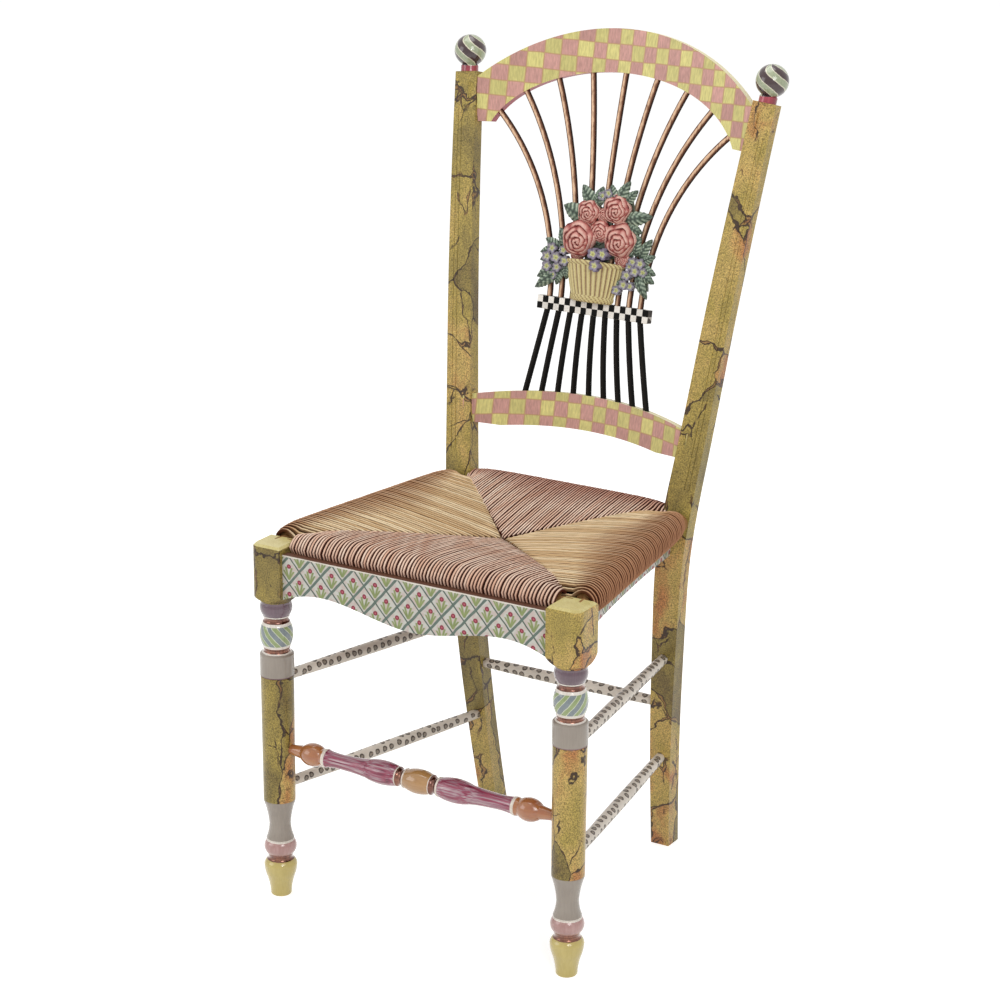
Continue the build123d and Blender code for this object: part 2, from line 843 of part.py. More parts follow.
def tie_bar():
    """Flat bar that ties the sheaf, bored for the nine spindles."""
    with BuildPart() as bar:
        with BuildSketch(back.offset(bar_front)):
            with Locations((0, bar_low + bar_height / 2)):
                Rectangle(bar_length, bar_height)
        extrude(amount=-bar_depth)
        chamfer(bar.edges(), 0.6)
        for index in range(spindle_count):
            add(spindle(index, spindle_radius + fit).part, mode=Mode.SUBTRACT)
    return bar


# ---------------------------------------------------------------- flower basket
board_back = bar_front - bar_depth / 2 + spindle_radius + fit
board_face = back.offset(board_back + board_thickness)
bar_top = bar_low + bar_height


def flower_board():
    """Thin sawn board behind the flowers, its two swags hanging out over the outer spindles."""
    with BuildPart() as board:
        with BuildSketch(back.offset(board_back)):
            with BuildLine() as stem:
                Line((0, bar_top + seam), (0, roses[-1][1]))
            trace(stem.line, line_width=basket_base_width * 0.6)
            with BuildLine() as swag:
                for side in (-1, 1):
                    ThreePointArc((0, 340), (side * 50, 345), (side * 70, 312))
            trace(swag.line, line_width=swag_width)
            with BuildLine() as cross_stem:
                Line((roses[0][0], roses[0][1]), (roses[1][0], roses[1][1]))
            trace(cross_stem.line, line_width=swag_width)
            for across, up, radius in roses:
                with Locations((across, up)):
                    Circle(radius + board_margin)
        extrude(amount=board_thickness)
    return board


def basket():
    """Flaring half-round basket with a rim band, flat against the board, standing on the bar."""
    with BuildPart() as body:
        for rise, width, depth in (
            (seam, basket_base_width, basket_base_depth),
            (basket_height, basket_rim_width, basket_rim_depth),
        ):
            level = Plane(
                origin=board_face.from_local_coords(Vector(0, bar_top + rise, 0)),
                x_dir=(1, 0, 0),
                z_dir=-back.y_dir,
            )
            with BuildSketch(level):
                Ellipse(width / 2, depth)
                with Locations((0, depth)):
                    Rectangle(width, 2 * depth, mode=Mode.INTERSECT)
        loft()
        with BuildSketch(level):
            Ellipse(basket_rim_width / 2 + 2, basket_rim_depth + 2)
            with Locations((0, basket_rim_depth)):
                Rectangle(2 * basket_rim_width, 2 * basket_rim_depth, mode=Mode.INTERSECT)
        extrude(amount=basket_rim_band)
    return body


def rose(across, up, radius):
    """An open rose: three rings of petals, each a bevelled step round a small bud."""
    ring = radius / 3
    depth = radius * rose_depth
    with BuildPart() as flower:
        for share, rise in ((3, 0.5), (2, 0.8), (1, 1.0)):
            with BuildSketch():
                RegularPolygon(ring * share, 12 if share > 1 else 8)
            extrude(amount=depth * rise, taper=18)
    with BuildPart() as placed:
        add(board_face * Pos(across, up, 0) * flower.part)
    return placed


def blossom(across, up, radius):
    """A small round blossom, a dome on the board."""
    with BuildPart() as dome:
        with Locations(board_face * Pos(across, up, 0)):
            Sphere(radius)
        split(bisect_by=board_face, keep=Keep.TOP)
    return dome


def leaf(across, up, length, turn):
    """A pointed leaf lying on the board's face, trimmed where a rose or the basket covers it."""
    with BuildPart() as blade:
        with BuildSketch(board_face * Pos(across, up, 0) * Rot(0, 0, turn)):
            with BuildLine():
                ThreePointArc((0, 0), (length * 0.45, length * 0.26), (length, 0))
                ThreePointArc((0, 0), (length * 0.45, -length * 0.26), (length, 0))
            make_face()
        extrude(amount=leaf_thickness)
        with BuildSketch(board_face):
            for rose_across, rose_up, radius in roses:
                with Locations((rose_across, rose_up)):
                    Circle(radius + fit)
        extrude(amount=2 * leaf_thickness, mode=Mode.SUBTRACT)
    return blade


# ---------------------------------------------------------------- rush seat
seat_front = front_rail_y - roll_radius
seat_rear = rear_rail_y + roll_radius
seat_front_half = leg_x + block_width / 2 - 0.5
seat_rear_half = post_x(rail_height) + post_width(rail_height) / 2 - 0.5
seat_middle_y = blend(seat_front, seat_rear, seat_middle_share)


def seat_plan(level, share=1.0):
    """The seat's outline at a level, drawn in towards the middle of the weave by a share."""
    corners = (
        (seat_front_half, block_back),
        (seat_front_half, seat_front),
        (-seat_front_half, seat_front),
        (-seat_front_half, block_back),
        (-seat_rear_half, seat_rear),
        (seat_rear_half, seat_rear),
    )
    points = [(x * share, blend(seat_middle_y, y, share)) for x, y in corners]
    with BuildSketch(Plane.XY.offset(level)) as plan:
        with BuildLine():
            Polyline(*points, close=True)
        make_face()
    return plan


def dished(level, share, depth):
    """Four flat slopes that run from the rolls at one level to the middle of the weave."""
    with BuildPart() as form:
        loft([seat_plan(level, share).sketch, seat_plan(level + depth, 0.02).sketch], ruled=True)
    return form


def corner_cut():
    """The space behind and outside a rear post, where the rush stops."""
    with BuildPart() as cut:
        with BuildSketch(Plane.XY.offset(rail_height - 2 * roll_radius)):
            with Locations((rear_rail_x - 2.0, post_y(rail_height))):
                Rectangle(seat_depth, seat_depth, align=Align.MIN)
        extrude(amount=4 * roll_radius)
    return cut


def rush_seat():
    """Woven seat: round rolls over the rails, sloping in four fields to a hollow middle."""
    top = rail_height + roll_radius
    bottom = rail_height - roll_radius
    side_cuts = [block_blank(soft_fit), post_blank(grow=soft_fit), corner_cut()]
    side_cuts.append(seat_rail(side_rail_front, side_rail_rear, soft_fit))
    with BuildPart() as seat:
        extrude(seat_plan(bottom).sketch, amount=2 * roll_radius)
        rim = seat.faces().sort_by(Axis.Z)[0].edges() + seat.faces().sort_by(Axis.Z)[-1].edges()
        fillet(rim, roll_radius - 2.0)
        add(dished(top, 0.93, -seat_dip).part, mode=Mode.SUBTRACT)
        add(dished(bottom, 0.85, -seat_belly).part)
        for cutter in side_cuts:
            add(cutter.part, mode=Mode.SUBTRACT)
            mirror(cutter.part, about=Plane.YZ, mode=Mode.SUBTRACT)
        for ends in ((front_rail_left, front_rail_right), (rear_rail_left, rear_rail_right)):
            add(seat_rail(*ends, soft_fit).part, mode=Mode.SUBTRACT)
    return seat


# ---------------------------------------------------------------- all pieces
def write_pairs():
    """Pieces that come as a right and a left one."""
    pairs = {
        "front_leg": front_leg(),
        "rear_post": rear_post(),
        "finial": finial(),
        "seat_rail_side": seat_rail(side_rail_front, side_rail_rear),
        "apron_side": side_apron(),
        "stretcher_lower": plain_stretcher(*lower_ends),
        "stretcher_upper": plain_stretcher(*upper_ends),
    }
    for name, piece in pairs.items():
        finish(piece, f"{name}_right")
        finish(mirrored(piece), f"{name}_left")


def write_singles():
    """Pieces that stand once, across the middle of the chair."""
    singles = {
        "seat_rail_front": seat_rail(front_rail_left, front_rail_right),
        "seat_rail_rear": seat_rail(rear_rail_left, rear_rail_right),
        "apron_front": front_apron(),
        "stretcher_front": front_stretcher(),
        "stretcher_rear": plain_stretcher(rear_stretcher_start, rear_stretcher_end),
        "rush_seat": rush_seat(),
        "crest_rail": crest_rail(),
        "lower_back_rail": lower_back_rail(),
        "tie_bar": tie_bar(),
        "flower_board": flower_board(),
        "basket": basket(),
    }
    for name, piece in singles.items():
        finish(piece, name)
    for index in range(spindle_count):
        finish(spindle(index), f"spindle_{index + 1}")
    for label, maker, places in (
        ("rose", rose, roses), ("blossom", blossom, blossoms), ("leaf", leaf, leaves)
    ):
        for index, place in enumerate(places):
            finish(maker(*place), f"{label}_{index + 1}")


write_pairs()
write_singles()
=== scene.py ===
"""Looks of a hand-painted side chair with a rush seat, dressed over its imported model.

The chair faces -Y and its feet stand on the floor at zero. Lengths end up in metres; a size that a
maker would give in millimetres is written as a number times MM.
"""

import logging
import math
from dataclasses import dataclass
from enum import Enum
from typing import Protocol

import bmesh
import bpy
import numpy as np
from mathutils import Matrix, Vector


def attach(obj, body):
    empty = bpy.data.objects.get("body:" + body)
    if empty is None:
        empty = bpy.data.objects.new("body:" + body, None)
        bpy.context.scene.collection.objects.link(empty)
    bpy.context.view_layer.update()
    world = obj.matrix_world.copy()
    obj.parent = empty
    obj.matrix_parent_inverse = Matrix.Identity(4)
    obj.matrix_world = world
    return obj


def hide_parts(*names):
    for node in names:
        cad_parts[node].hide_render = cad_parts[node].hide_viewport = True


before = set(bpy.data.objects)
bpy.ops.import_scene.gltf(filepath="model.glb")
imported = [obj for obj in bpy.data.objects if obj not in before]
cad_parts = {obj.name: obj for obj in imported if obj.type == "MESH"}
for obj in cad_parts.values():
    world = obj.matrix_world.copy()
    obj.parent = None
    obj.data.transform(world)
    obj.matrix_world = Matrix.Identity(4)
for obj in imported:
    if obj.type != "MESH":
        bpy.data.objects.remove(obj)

logging.basicConfig(level=logging.INFO, format="%(message)s")
log = logging.getLogger("chair")

MM = 0.001
BODY = "root"
SIDES = ("left", "right")

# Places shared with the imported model.
LEG_X = 201.5 * MM
FRONT_Y = -234.5 * MM
KNEE_Y = FRONT_Y + 340.0 * MM
KNEE_Z = 404.0 * MM
RAIL_Z = 449.0 * MM
LEAN = math.atan2(102.0, 544.0)
BACK_OUT = (0.0, -math.cos(LEAN), math.sin(LEAN))
BAR_LOW = 273.0 * MM
BAR_TOP = 289.5 * MM
BOARD_FACE = -2.1 * MM

Socket = bpy.types.NodeSocket
Value = float | tuple | str | Socket
Place = tuple[float, float, float]
Ornament = tuple[float, ...]

SMOOTH = {"interpolation_type": "SMOOTHSTEP"}
COLOUR = {"data_type": "RGBA", "out": 2}
MULTIPLY = {"data_type": "RGBA", "out": 2, "blend_type": "MULTIPLY"}
TO_EDGE = {"feature": "DISTANCE_TO_EDGE", "out": "Distance"}


def linear(code: str) -> tuple[float, float, float, float]:
    """Turns a paint colour written as sRGB hex into the shader's linear values.

    Args:
        code: The colour as "#RRGGBB".

    Returns:
        Red, green, blue and an alpha of one.
    """
    shares = [int(code[i : i + 2], 16) / 255 for i in (1, 3, 5)]
    values = [s / 12.92 if s <= 0.04045 else ((s + 0.055) / 1.055) ** 2.4 for s in shares]
    return (*values, 1.0)


def on_back(across: np.ndarray, up: np.ndarray, forward: np.ndarray) -> np.ndarray:
    """Points given in the leaning plane of the chair's back.

    Args:
        across: Distances to the right of the middle.
        up: Distances up the lean from the knees of the posts.
        forward: Distances towards the sitter.

    Returns:
        The points in the chair's frame, in the last axis.
    """
    across, up, forward = np.broadcast_arrays(across, up, forward)
    y = KNEE_Y + up * math.sin(LEAN) - forward * math.cos(LEAN)
    z = KNEE_Z + up * math.cos(LEAN) + forward * math.sin(LEAN)
    return np.stack([across, y, z], axis=-1)


# ---------------------------------------------------------------------------- node graphs
class Graph:
    """The node tree of one material, or of the world."""

    def __init__(self, owner: bpy.types.Material | bpy.types.World) -> None:
        """Empties the owner's tree and keeps it at hand.

        Args:
            owner: The material or the world whose tree this is.
        """
        owner.use_nodes = True
        self.owner = owner
        self.tree = owner.node_tree
        self.tree.nodes.clear()

    def add(
        self,
        kind: str,
        inputs: dict | tuple = (),
        out: int | str = 0,
        ramp: tuple | None = None,
        **settings: object,
    ) -> Socket | None:
        """Adds one node, sets it up and wires its inputs.

        Args:
            kind: Node type without its "ShaderNode" prefix.
            inputs: Values or sockets, in order, or by socket name or number. A string is a colour.
            out: Which output to hand back.
            ramp: Places and colours of a colour band, where the node has one.
            **settings: Properties of the node.

        Returns:
            The chosen output socket, or None where the node has none.
        """
        node = self.tree.nodes.new("ShaderNode" + kind)
        for key, value in settings.items():
            setattr(node, key, value)
        for key, value in (inputs if isinstance(inputs, dict) else dict(enumerate(inputs))).items():
            if isinstance(value, Socket):
                self.tree.links.new(value, node.inputs[key])
            else:
                node.inputs[key].default_value = linear(value) if isinstance(value, str) else value
        for index, (place, code) in enumerate(ramp or ()):
            elements = node.color_ramp.elements
            element = elements[index] if index < 2 else elements.new(place)
            element.position = place
            element.color = linear(code)
        return node.outputs[out] if node.outputs else None

    def varied(
        self, point: Socket, size: float, x: float = 1, y: float = 1, z: float = 1, **more: float
    ) -> Socket:
        """Random variation in patches about as wide as size, longer where a factor is small.

        Args:
            point: Where the pattern is read.
            size: Width of a patch.
            x: Factor on the first axis.
            y: Factor on the second axis.
            z: Factor on the third axis.
            **more: Detail, Roughness or Distortion of the noise.

        Returns:
            A value between zero and one.
        """
        scaled = self.add("VectorMath", (point, (x, y, z)), operation="MULTIPLY")
        return self.add("TexNoise", {"Vector": scaled, "Scale": 1 / size, **more})

    def wavering(self, point: Socket, size: float, reach: float, **more: float) -> Socket:
        """The point pushed about at random, for edges drawn by hand.

        Args:
            point: Where the pattern is read.
            size: Length of one wave.
            reach: How far an edge strays.
            **more: Detail or Roughness of the noise.

        Returns:
            The moved point.
        """
        noise = {"Vector": point, "Scale": 1 / size, **more}
        shift = self.add("TexNoise", noise, out="Color")
        middle = self.add("VectorMath", (shift, (0.5, 0.5, 0.5)), operation="SUBTRACT")
        scaled = self.add("VectorMath", {0: middle, "Scale": 2 * reach}, operation="SCALE")
        return self.add("VectorMath", (point, scaled), operation="ADD")

    def shaded(self, colour: Value, share: Socket, low: float, high: float) -> Socket:
        """A colour darkened or lightened by a factor that runs from low to high.

        Args:
            colour: The colour to change.
            share: Zero to one, choosing between the two factors.
            low: Factor at zero.
            high: Factor at one.

        Returns:
            The changed colour.
        """
        factor = self.add("MapRange", (share, 0.0, 1.0, low, high))
        grey = self.add("CombineColor", (factor, factor, factor))
        return self.add("Mix", {0: 1.0, 6: colour, 7: grey}, **MULTIPLY)


@dataclass(frozen=True)
class Coat:
    """Colour of a surface, its height for fine relief, its share of metal, and its own shine."""

    colour: Value
    height: Socket | None = None
    metal: float | Socket = 0.0
    shine: float | Socket = 0.0


@dataclass(frozen=True)
class Gloss:
    """How a finish shines, and how deep its relief is."""

    roughness: float = 0.45
    varnish: float = 0.0
    varnish_roughness: float = 0.15
    specular: float = 0.35
    relief: float = 0.2 * MM


class Paint(Protocol):
    """Anything that can be laid on a piece."""

    def coat(self, g: Graph, point: Socket) -> Coat:
        """Adds the paint's nodes.

        Args:
            g: The graph to add to.
            point: The point on the chair.

        Returns:
            The coat.
        """


@dataclass(frozen=True)
class Finish:
    """A paint with its shine, under the name of the real material."""

    name: str
    paint: Paint
    gloss: Gloss

    def material(self) -> bpy.types.Material:
        """Makes the material, its patterns read from the chair's own frame.

        Returns:
            The new material.
        """
        g = Graph(bpy.data.materials.new(self.name))
        coat = self.paint.coat(g, g.add("TexCoord", out="Object"))
        inputs = {
            "Base Color": coat.colour,
            "Metallic": coat.metal,
            "Roughness": self.gloss.roughness,
            "Coat Weight": self.gloss.varnish,
            "Coat Roughness": self.gloss.varnish_roughness,
            "Specular IOR Level": self.gloss.specular,
        }
        if isinstance(coat.shine, Socket):
            inputs["Coat Weight"] = coat.shine
            inputs["Roughness"] = g.add("MapRange", (coat.shine, 0.0, 1.0, self.gloss.roughness, 0.2))
        if coat.height is not None:
            inputs["Normal"] = g.add("Bump", {"Height": coat.height, "Distance": self.gloss.relief})
        g.add("OutputMaterial", (g.add("BsdfPrincipled", inputs),))
        return g.owner

    def dress(self, *nodes: str) -> None:
        """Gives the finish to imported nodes.

        Args:
            *nodes: Their names.
        """
        material = self.material()
        for node in nodes:
            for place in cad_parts[node].material_slots:
                place.material = material
        log.info("%s on %s", self.name, ", ".join(nodes))


# Satin enamel spreads the lamps softly; varnished enamel keeps a small sharp glint; rush is dull.
SATIN = Gloss(0.45, varnish=0.1, varnish_roughness=0.3, relief=0.15 * MM)
SHINY = Gloss(0.3, varnish=0.5, varnish_roughness=0.08, relief=0.1 * MM)
FLAT = Gloss(0.5, specular=0.1, relief=0.1 * MM)
DULL = Gloss(0.85, specular=0.15, relief=0.4 * MM)


def back_plane(g: Graph, point: Socket) -> tuple[Socket, Socket]:
    """Distances across and up the leaning back, from a point in the chair's frame.

    Args:
        g: The graph to add to.
        point: The point.

    Returns:
        Sockets across and up.
    """
    axis = (0.0, math.sin(LEAN), math.cos(LEAN))
    start = KNEE_Y * axis[1] + KNEE_Z * axis[2]
    along = g.add("VectorMath", (point, axis), out="Value", operation="DOT_PRODUCT")
    across = g.add("SeparateXYZ", (point,))
    return across, g.add("Math", (along, start), operation="SUBTRACT")


# ---------------------------------------------------------------------------- paints
@dataclass(frozen=True)
class Brushed:
    """Alkyd enamel laid on with a soft brush: fine parallel strokes, a little uneven in depth."""

    colour: str
    shade: str
    stroke: tuple[float, float, float] = (1.0, 1.0, 0.08)
    width: float = 2.0 * MM
    metal: float = 0.0
    shine: float = 0.0

    def coat(self, g: Graph, point: Socket) -> Coat:
        """Blends the two tints by long thin strokes, with soft cloudy patches over them.

        Args:
            g: The graph to add to.
            point: The point on the chair.

        Returns:
            The coat.
        """
        strokes = g.varied(point, self.width, *self.stroke, Detail=3.0)
        clouds = g.varied(point, 25 * MM)
        share = g.add("Math", (strokes, clouds), operation="ADD")
        share = g.add("MapRange", (share, 0.75, 1.25, 0.0, 1.0), **SMOOTH)
        colour = g.add("Mix", {0: share, 6: self.colour, 7: self.shade}, **COLOUR)
        return Coat(colour, strokes, self.metal, self.shine)


@dataclass(frozen=True)
class Marbled:
    """Oil glazes sponged over yellow ochre: drifts of green, ochre and rust, with dark veins.

    The sponge's grain is drawn at 1.6 mm, coarser than a real one, so that it shows.
    """

    tints: tuple[tuple[float, str], ...] = (
        (0.16, "#675430"),
        (0.34, "#8B793F"),
        (0.50, "#AC964C"),
        (0.63, "#C4A660"),
        (0.74, "#B87F4A"),
        (0.92, "#A2613C"),
    )
    vein: str = "#2E1B0D"
    lip: str = "#8C5A34"
    drift: float = 84 * MM
    crack: float = 46 * MM
    line: float = 0.55 * MM
    opening: float = 1.3 * MM
    grain: float = 1.6 * MM
    sponging: tuple[float, float] = (0.32, 1.46)

    def coat(self, g: Graph, point: Socket) -> Coat:
        """Cells of a wavering pattern pick each drift's tint, and their edges are the veins.

        A drift's tint is a place on the colour band: the cell's own random value and soft clouds,
        added up. Finer cells give side cracks. Both kinds break off where the clouds are thin.

        Args:
            g: The graph to add to.
            point: The point on the chair.

        Returns:
            The coat.
        """
        wave = g.wavering(point, 32 * MM, 13 * MM, Detail=4.0, Roughness=0.5)
        drawn = g.add("VectorMath", (wave, (1.0, 1.0, 0.58)), operation="MULTIPLY")
        own = g.add("TexVoronoi", {"Vector": drawn, "Scale": 1 / self.drift}, out="Color")
        own = g.add("SeparateColor", (own,))
        clouds = g.varied(wave, 34 * MM, z=0.5, Detail=3.0)
        share = g.add("Math", (own, 0.45, -0.10), operation="MULTIPLY_ADD")
        share = g.add("Math", (clouds, 0.75, share), operation="MULTIPLY_ADD")
        ground = g.add("ValToRGB", (share,), ramp=self.tints)
        sponge = g.varied(point, self.grain, Detail=4.0, Roughness=0.75)
        sponge = g.add("MapRange", (sponge, 0.36, 0.62, 0.0, 1.0))
        ground = g.shaded(ground, sponge, *self.sponging)
        parting = g.varied(point, 24 * MM, Detail=2.0)
        opening = g.add("MapRange", (parting, 0.46, 0.66, 0.0, self.opening))
        for size, broken in ((self.drift, 0.30), (self.crack, 0.50)):
            edge = g.add("TexVoronoi", {"Vector": drawn, "Scale": 1 / size}, **TO_EDGE)
            edge = g.add("Math", (edge, size), operation="MULTIPLY")
            present = g.add("MapRange", (clouds, broken, broken + 0.06, 0.0, 1.0), **SMOOTH)
            ground = self.veined(g, ground, edge, opening, present)
        return Coat(ground, sponge)

    def veined(
        self, g: Graph, ground: Socket, edge: Socket, opening: Socket, present: Socket
    ) -> Socket:
        """Draws one family of veins over the ground.

        With e the distance to a cell's edge and o the opening there, a line is drawn where |e - o|
        is small: one line where o is nothing, and elsewhere two, with rust between.

        Args:
            g: The graph to add to.
            ground: Colour under the veins.
            edge: Distance to the nearest edge of a cell.
            opening: Half of the distance between the two lines of a vein.
            present: Zero where the vein breaks off, one where it is whole.

        Returns:
            The colour with the veins.
        """
        between = g.add("Math", (edge, opening), operation="LESS_THAN")
        between = g.add("Math", (between, present), operation="MULTIPLY")
        between = g.add("Math", (between, 0.6), operation="MULTIPLY")
        ground = g.add("Mix", {0: between, 6: ground, 7: self.lip}, **COLOUR)
        off = g.add("Math", (edge, opening), operation="SUBTRACT")
        off = g.add("Math", (off,), operation="ABSOLUTE")
        line = g.add("MapRange", (off, self.line * 0.5, self.line * 1.5, 0.95, 0.0), **SMOOTH)
        line = g.add("Math", (line, present), operation="MULTIPLY")
        return g.add("Mix", {0: line, 6: ground, 7: self.vein}, **COLOUR)


@dataclass(frozen=True)
class Checks:
    """Spacing of painted checks: two widths, left and right of a seam, a height, and an arch.

    The rows rise towards a middle by the arch times the square of the distance from it. All are in
    millimetres, and the shift is a number of squares.
    """

    left: float
    right: float
    seam: float
    height: float
    foot: float
    arch: float = 0.0
    middle: float = 15.0
    shift: int = 0

    def places(self, g: Graph, across: Socket, up: Socket) -> tuple[Socket, Socket]:
        """Columns and rows, counted in squares.

        Args:
            g: The graph to add to.
            across: Distance across the back.
            up: Distance up the back.

        Returns:
            The column and the row, as whole numbers and fractions.
        """
        column = g.add("Math", (across, self.seam * MM), operation="SUBTRACT")
        columns = [
            g.add("Math", (column, 1 / (size * MM), self.shift), operation="MULTIPLY_ADD")
            for size in (self.left, self.right)
        ]
        off = g.add("Math", (across, self.middle * MM), operation="SUBTRACT")
        off = g.add("Math", (off, 2.0), operation="POWER")
        row = g.add("Math", (off, self.arch / MM, up), operation="MULTIPLY_ADD")
        row = g.add("Math", (row, self.foot * MM), operation="SUBTRACT")
        row = g.add("Math", (row, self.height * MM), operation="DIVIDE")
        return g.add("Math", columns, operation="MAXIMUM"), row


@dataclass(frozen=True)
class Checked:
    """Hand-painted checks in two enamels, each square stroked by brush and outlined thinly.

    The edges are the paints of the board's edges, facing up and facing down. The tongue is how far
    from the middle it begins, in millimetres, and how much further that is with each step up.
    """

    first: str
    second: str
    line: str
    checks: Checks
    outline: float = 0.035
    stray: float = 1.0 * MM
    strokes: tuple[float, float] = (0.58, 1.38)
    edges: tuple[str, str] | None = None
    tongue: tuple[float, float] | None = None

    def coat(self, g: Graph, point: Socket) -> Coat:
        """Counts squares across and up the back; odd sums take the second colour.

        Args:
            g: The graph to add to.
            point: The point on the chair.

        Returns:
            The coat.
        """
        across, up = back_plane(g, g.wavering(point, 30 * MM, self.stray))
        counts = []
        borders = []
        for place in self.checks.places(g, across, up):
            counts.append(g.add("Math", (place,), operation="FLOOR"))
            inside = g.add("Math", (place,), operation="FRACT")
            inside = g.add("Math", (inside, 0.5), operation="SUBTRACT")
            borders.append(g.add("Math", (inside,), operation="ABSOLUTE"))
        half = g.add("Math", (g.add("Math", counts, operation="ADD"), 0.5), operation="MULTIPLY")
        half = g.add("Math", (half,), operation="FRACT")
        odd = g.add("Math", (half, 0.25), operation="GREATER_THAN")
        colour = g.add("Mix", {0: odd, 6: self.first, 7: self.second}, **COLOUR)
        square = g.add("CombineXYZ", (counts[0], counts[1], 0.5))
        own = g.add("TexWhiteNoise", (square,), out="Value")
        colour = g.shaded(colour, own, 0.86, 1.10)
        strokes = g.varied(point, 1.7 * MM, z=0.07, Detail=2.0)
        colour = g.shaded(colour, strokes, *self.strokes)
        edge = g.add("Math", borders, operation="MAXIMUM")
        low = 0.5 - self.outline
        edge = g.add("MapRange", (edge, low - 0.02, low + 0.01, 0.0, 0.7), **SMOOTH)
        colour = g.add("Mix", {0: edge, 6: colour, 7: self.line}, **COLOUR)
        if self.edges:
            colour = self.edged(g, colour, strokes)
        if self.tongue:
            colour = self.with_tongue(g, colour, point)
        return Coat(colour, strokes)

    def edged(self, g: Graph, colour: Socket, strokes: Socket) -> Socket:
        """Paints the board's edges, where its surface turns away from the back's plane.

        Args:
            g: The graph to add to.
            colour: Colour of the board's faces.
            strokes: The brush's strokes.

        Returns:
            The colour with the edges, one paint where they face up and one where they face down.
        """
        normal = g.add("NewGeometry", out="Normal")
        out = g.add("VectorMath", (normal, BACK_OUT), out="Value", operation="DOT_PRODUCT")
        out = g.add("Math", (out,), operation="ABSOLUTE")
        height = g.add("SeparateXYZ", (normal,)).node.outputs[2]
        above = g.add("Math", (height, 0.0), operation="GREATER_THAN")
        rim = g.add("Mix", {0: above, 6: self.edges[1], 7: self.edges[0]}, **COLOUR)
        rim = g.shaded(rim, strokes, 0.8, 1.2)
        aside = g.add("Math", (out, 0.72), operation="LESS_THAN")
        return g.add("Mix", {0: aside, 6: colour, 7: rim}, **COLOUR)

    def with_tongue(self, g: Graph, colour: Socket, point: Socket) -> Socket:
        """Paints the board's tongue like the post that holds it, as it lies in the post's face.

        Args:
            g: The graph to add to.
            colour: Colour of the board.
            point: The point on the chair.

        Returns:
            The colour, changed beyond a line that leans outwards with the post.
        """
        start, spread = self.tongue
        across, up = back_plane(g, point)
        off = g.add("Math", (across,), operation="ABSOLUTE")
        off = g.add("Math", (off, start * MM), operation="SUBTRACT")
        off = g.add("Math", (up, -spread, off), operation="MULTIPLY_ADD")
        within = g.add("Math", (off, 0.0), operation="GREATER_THAN")
        post = Marbled().coat(g, point).colour
        return g.add("Mix", {0: within, 6: colour, 7: post}, **COLOUR)


@dataclass(frozen=True)
class Swirled:
    """Ball painted with slanting stripes in two enamels, each edged with a thin pale line."""

    centre: Place
    first: str
    second: str
    line: str
    stripes: int = 5
    slant: float = 0.9
    mirrored: bool = False
    shade: float = 0.7
    radius: float = 20 * MM

    def coat(self, g: Graph, point: Socket) -> Coat:
        """Runs the colour band by the angle round the ball plus a turn that grows with height.

        Both balls share one rule: the sideways distance is taken outwards from the nearer ball's
        middle. On the left ball it is turned over, unless the pair is painted as mirror images.

        Args:
            g: The graph to add to.
            point: The point on the chair.

        Returns:
            The coat.
        """
        x, y, z = g.add("SeparateXYZ", (g.wavering(point, 12 * MM, 1.3 * MM),)).node.outputs
        dx, dy, dz = [
            g.add("Math", (value, middle), operation="SUBTRACT")
            for value, middle in zip((g.add("Math", (x,), operation="ABSOLUTE"), y, z), self.centre)
        ]
        if not self.mirrored:
            dx = g.add("Math", (dx, g.add("Math", (x,), operation="SIGN")), operation="MULTIPLY")
        angle = g.add("Math", (dy, dx), operation="ARCTAN2")
        turn = g.add("Math", (angle, self.stripes / math.tau), operation="MULTIPLY")
        rise = g.add("Math", (dz, self.slant / self.radius, turn), operation="MULTIPLY_ADD")
        share = g.add("Math", (rise,), operation="FRACT")
        stops = (
            (0.0, self.first), (0.48, self.first), (0.50, self.line), (0.54, self.line),
            (0.57, self.second), (0.93, self.second), (0.95, self.line), (1.0, self.line),
        )
        colour = g.add("ValToRGB", (share,), ramp=stops)
        clouds = g.varied(point, 3 * MM, Detail=3.0, Roughness=0.7)
        return Coat(g.shaded(colour, clouds, self.shade, 2 - self.shade), clouds, shine=0.8)


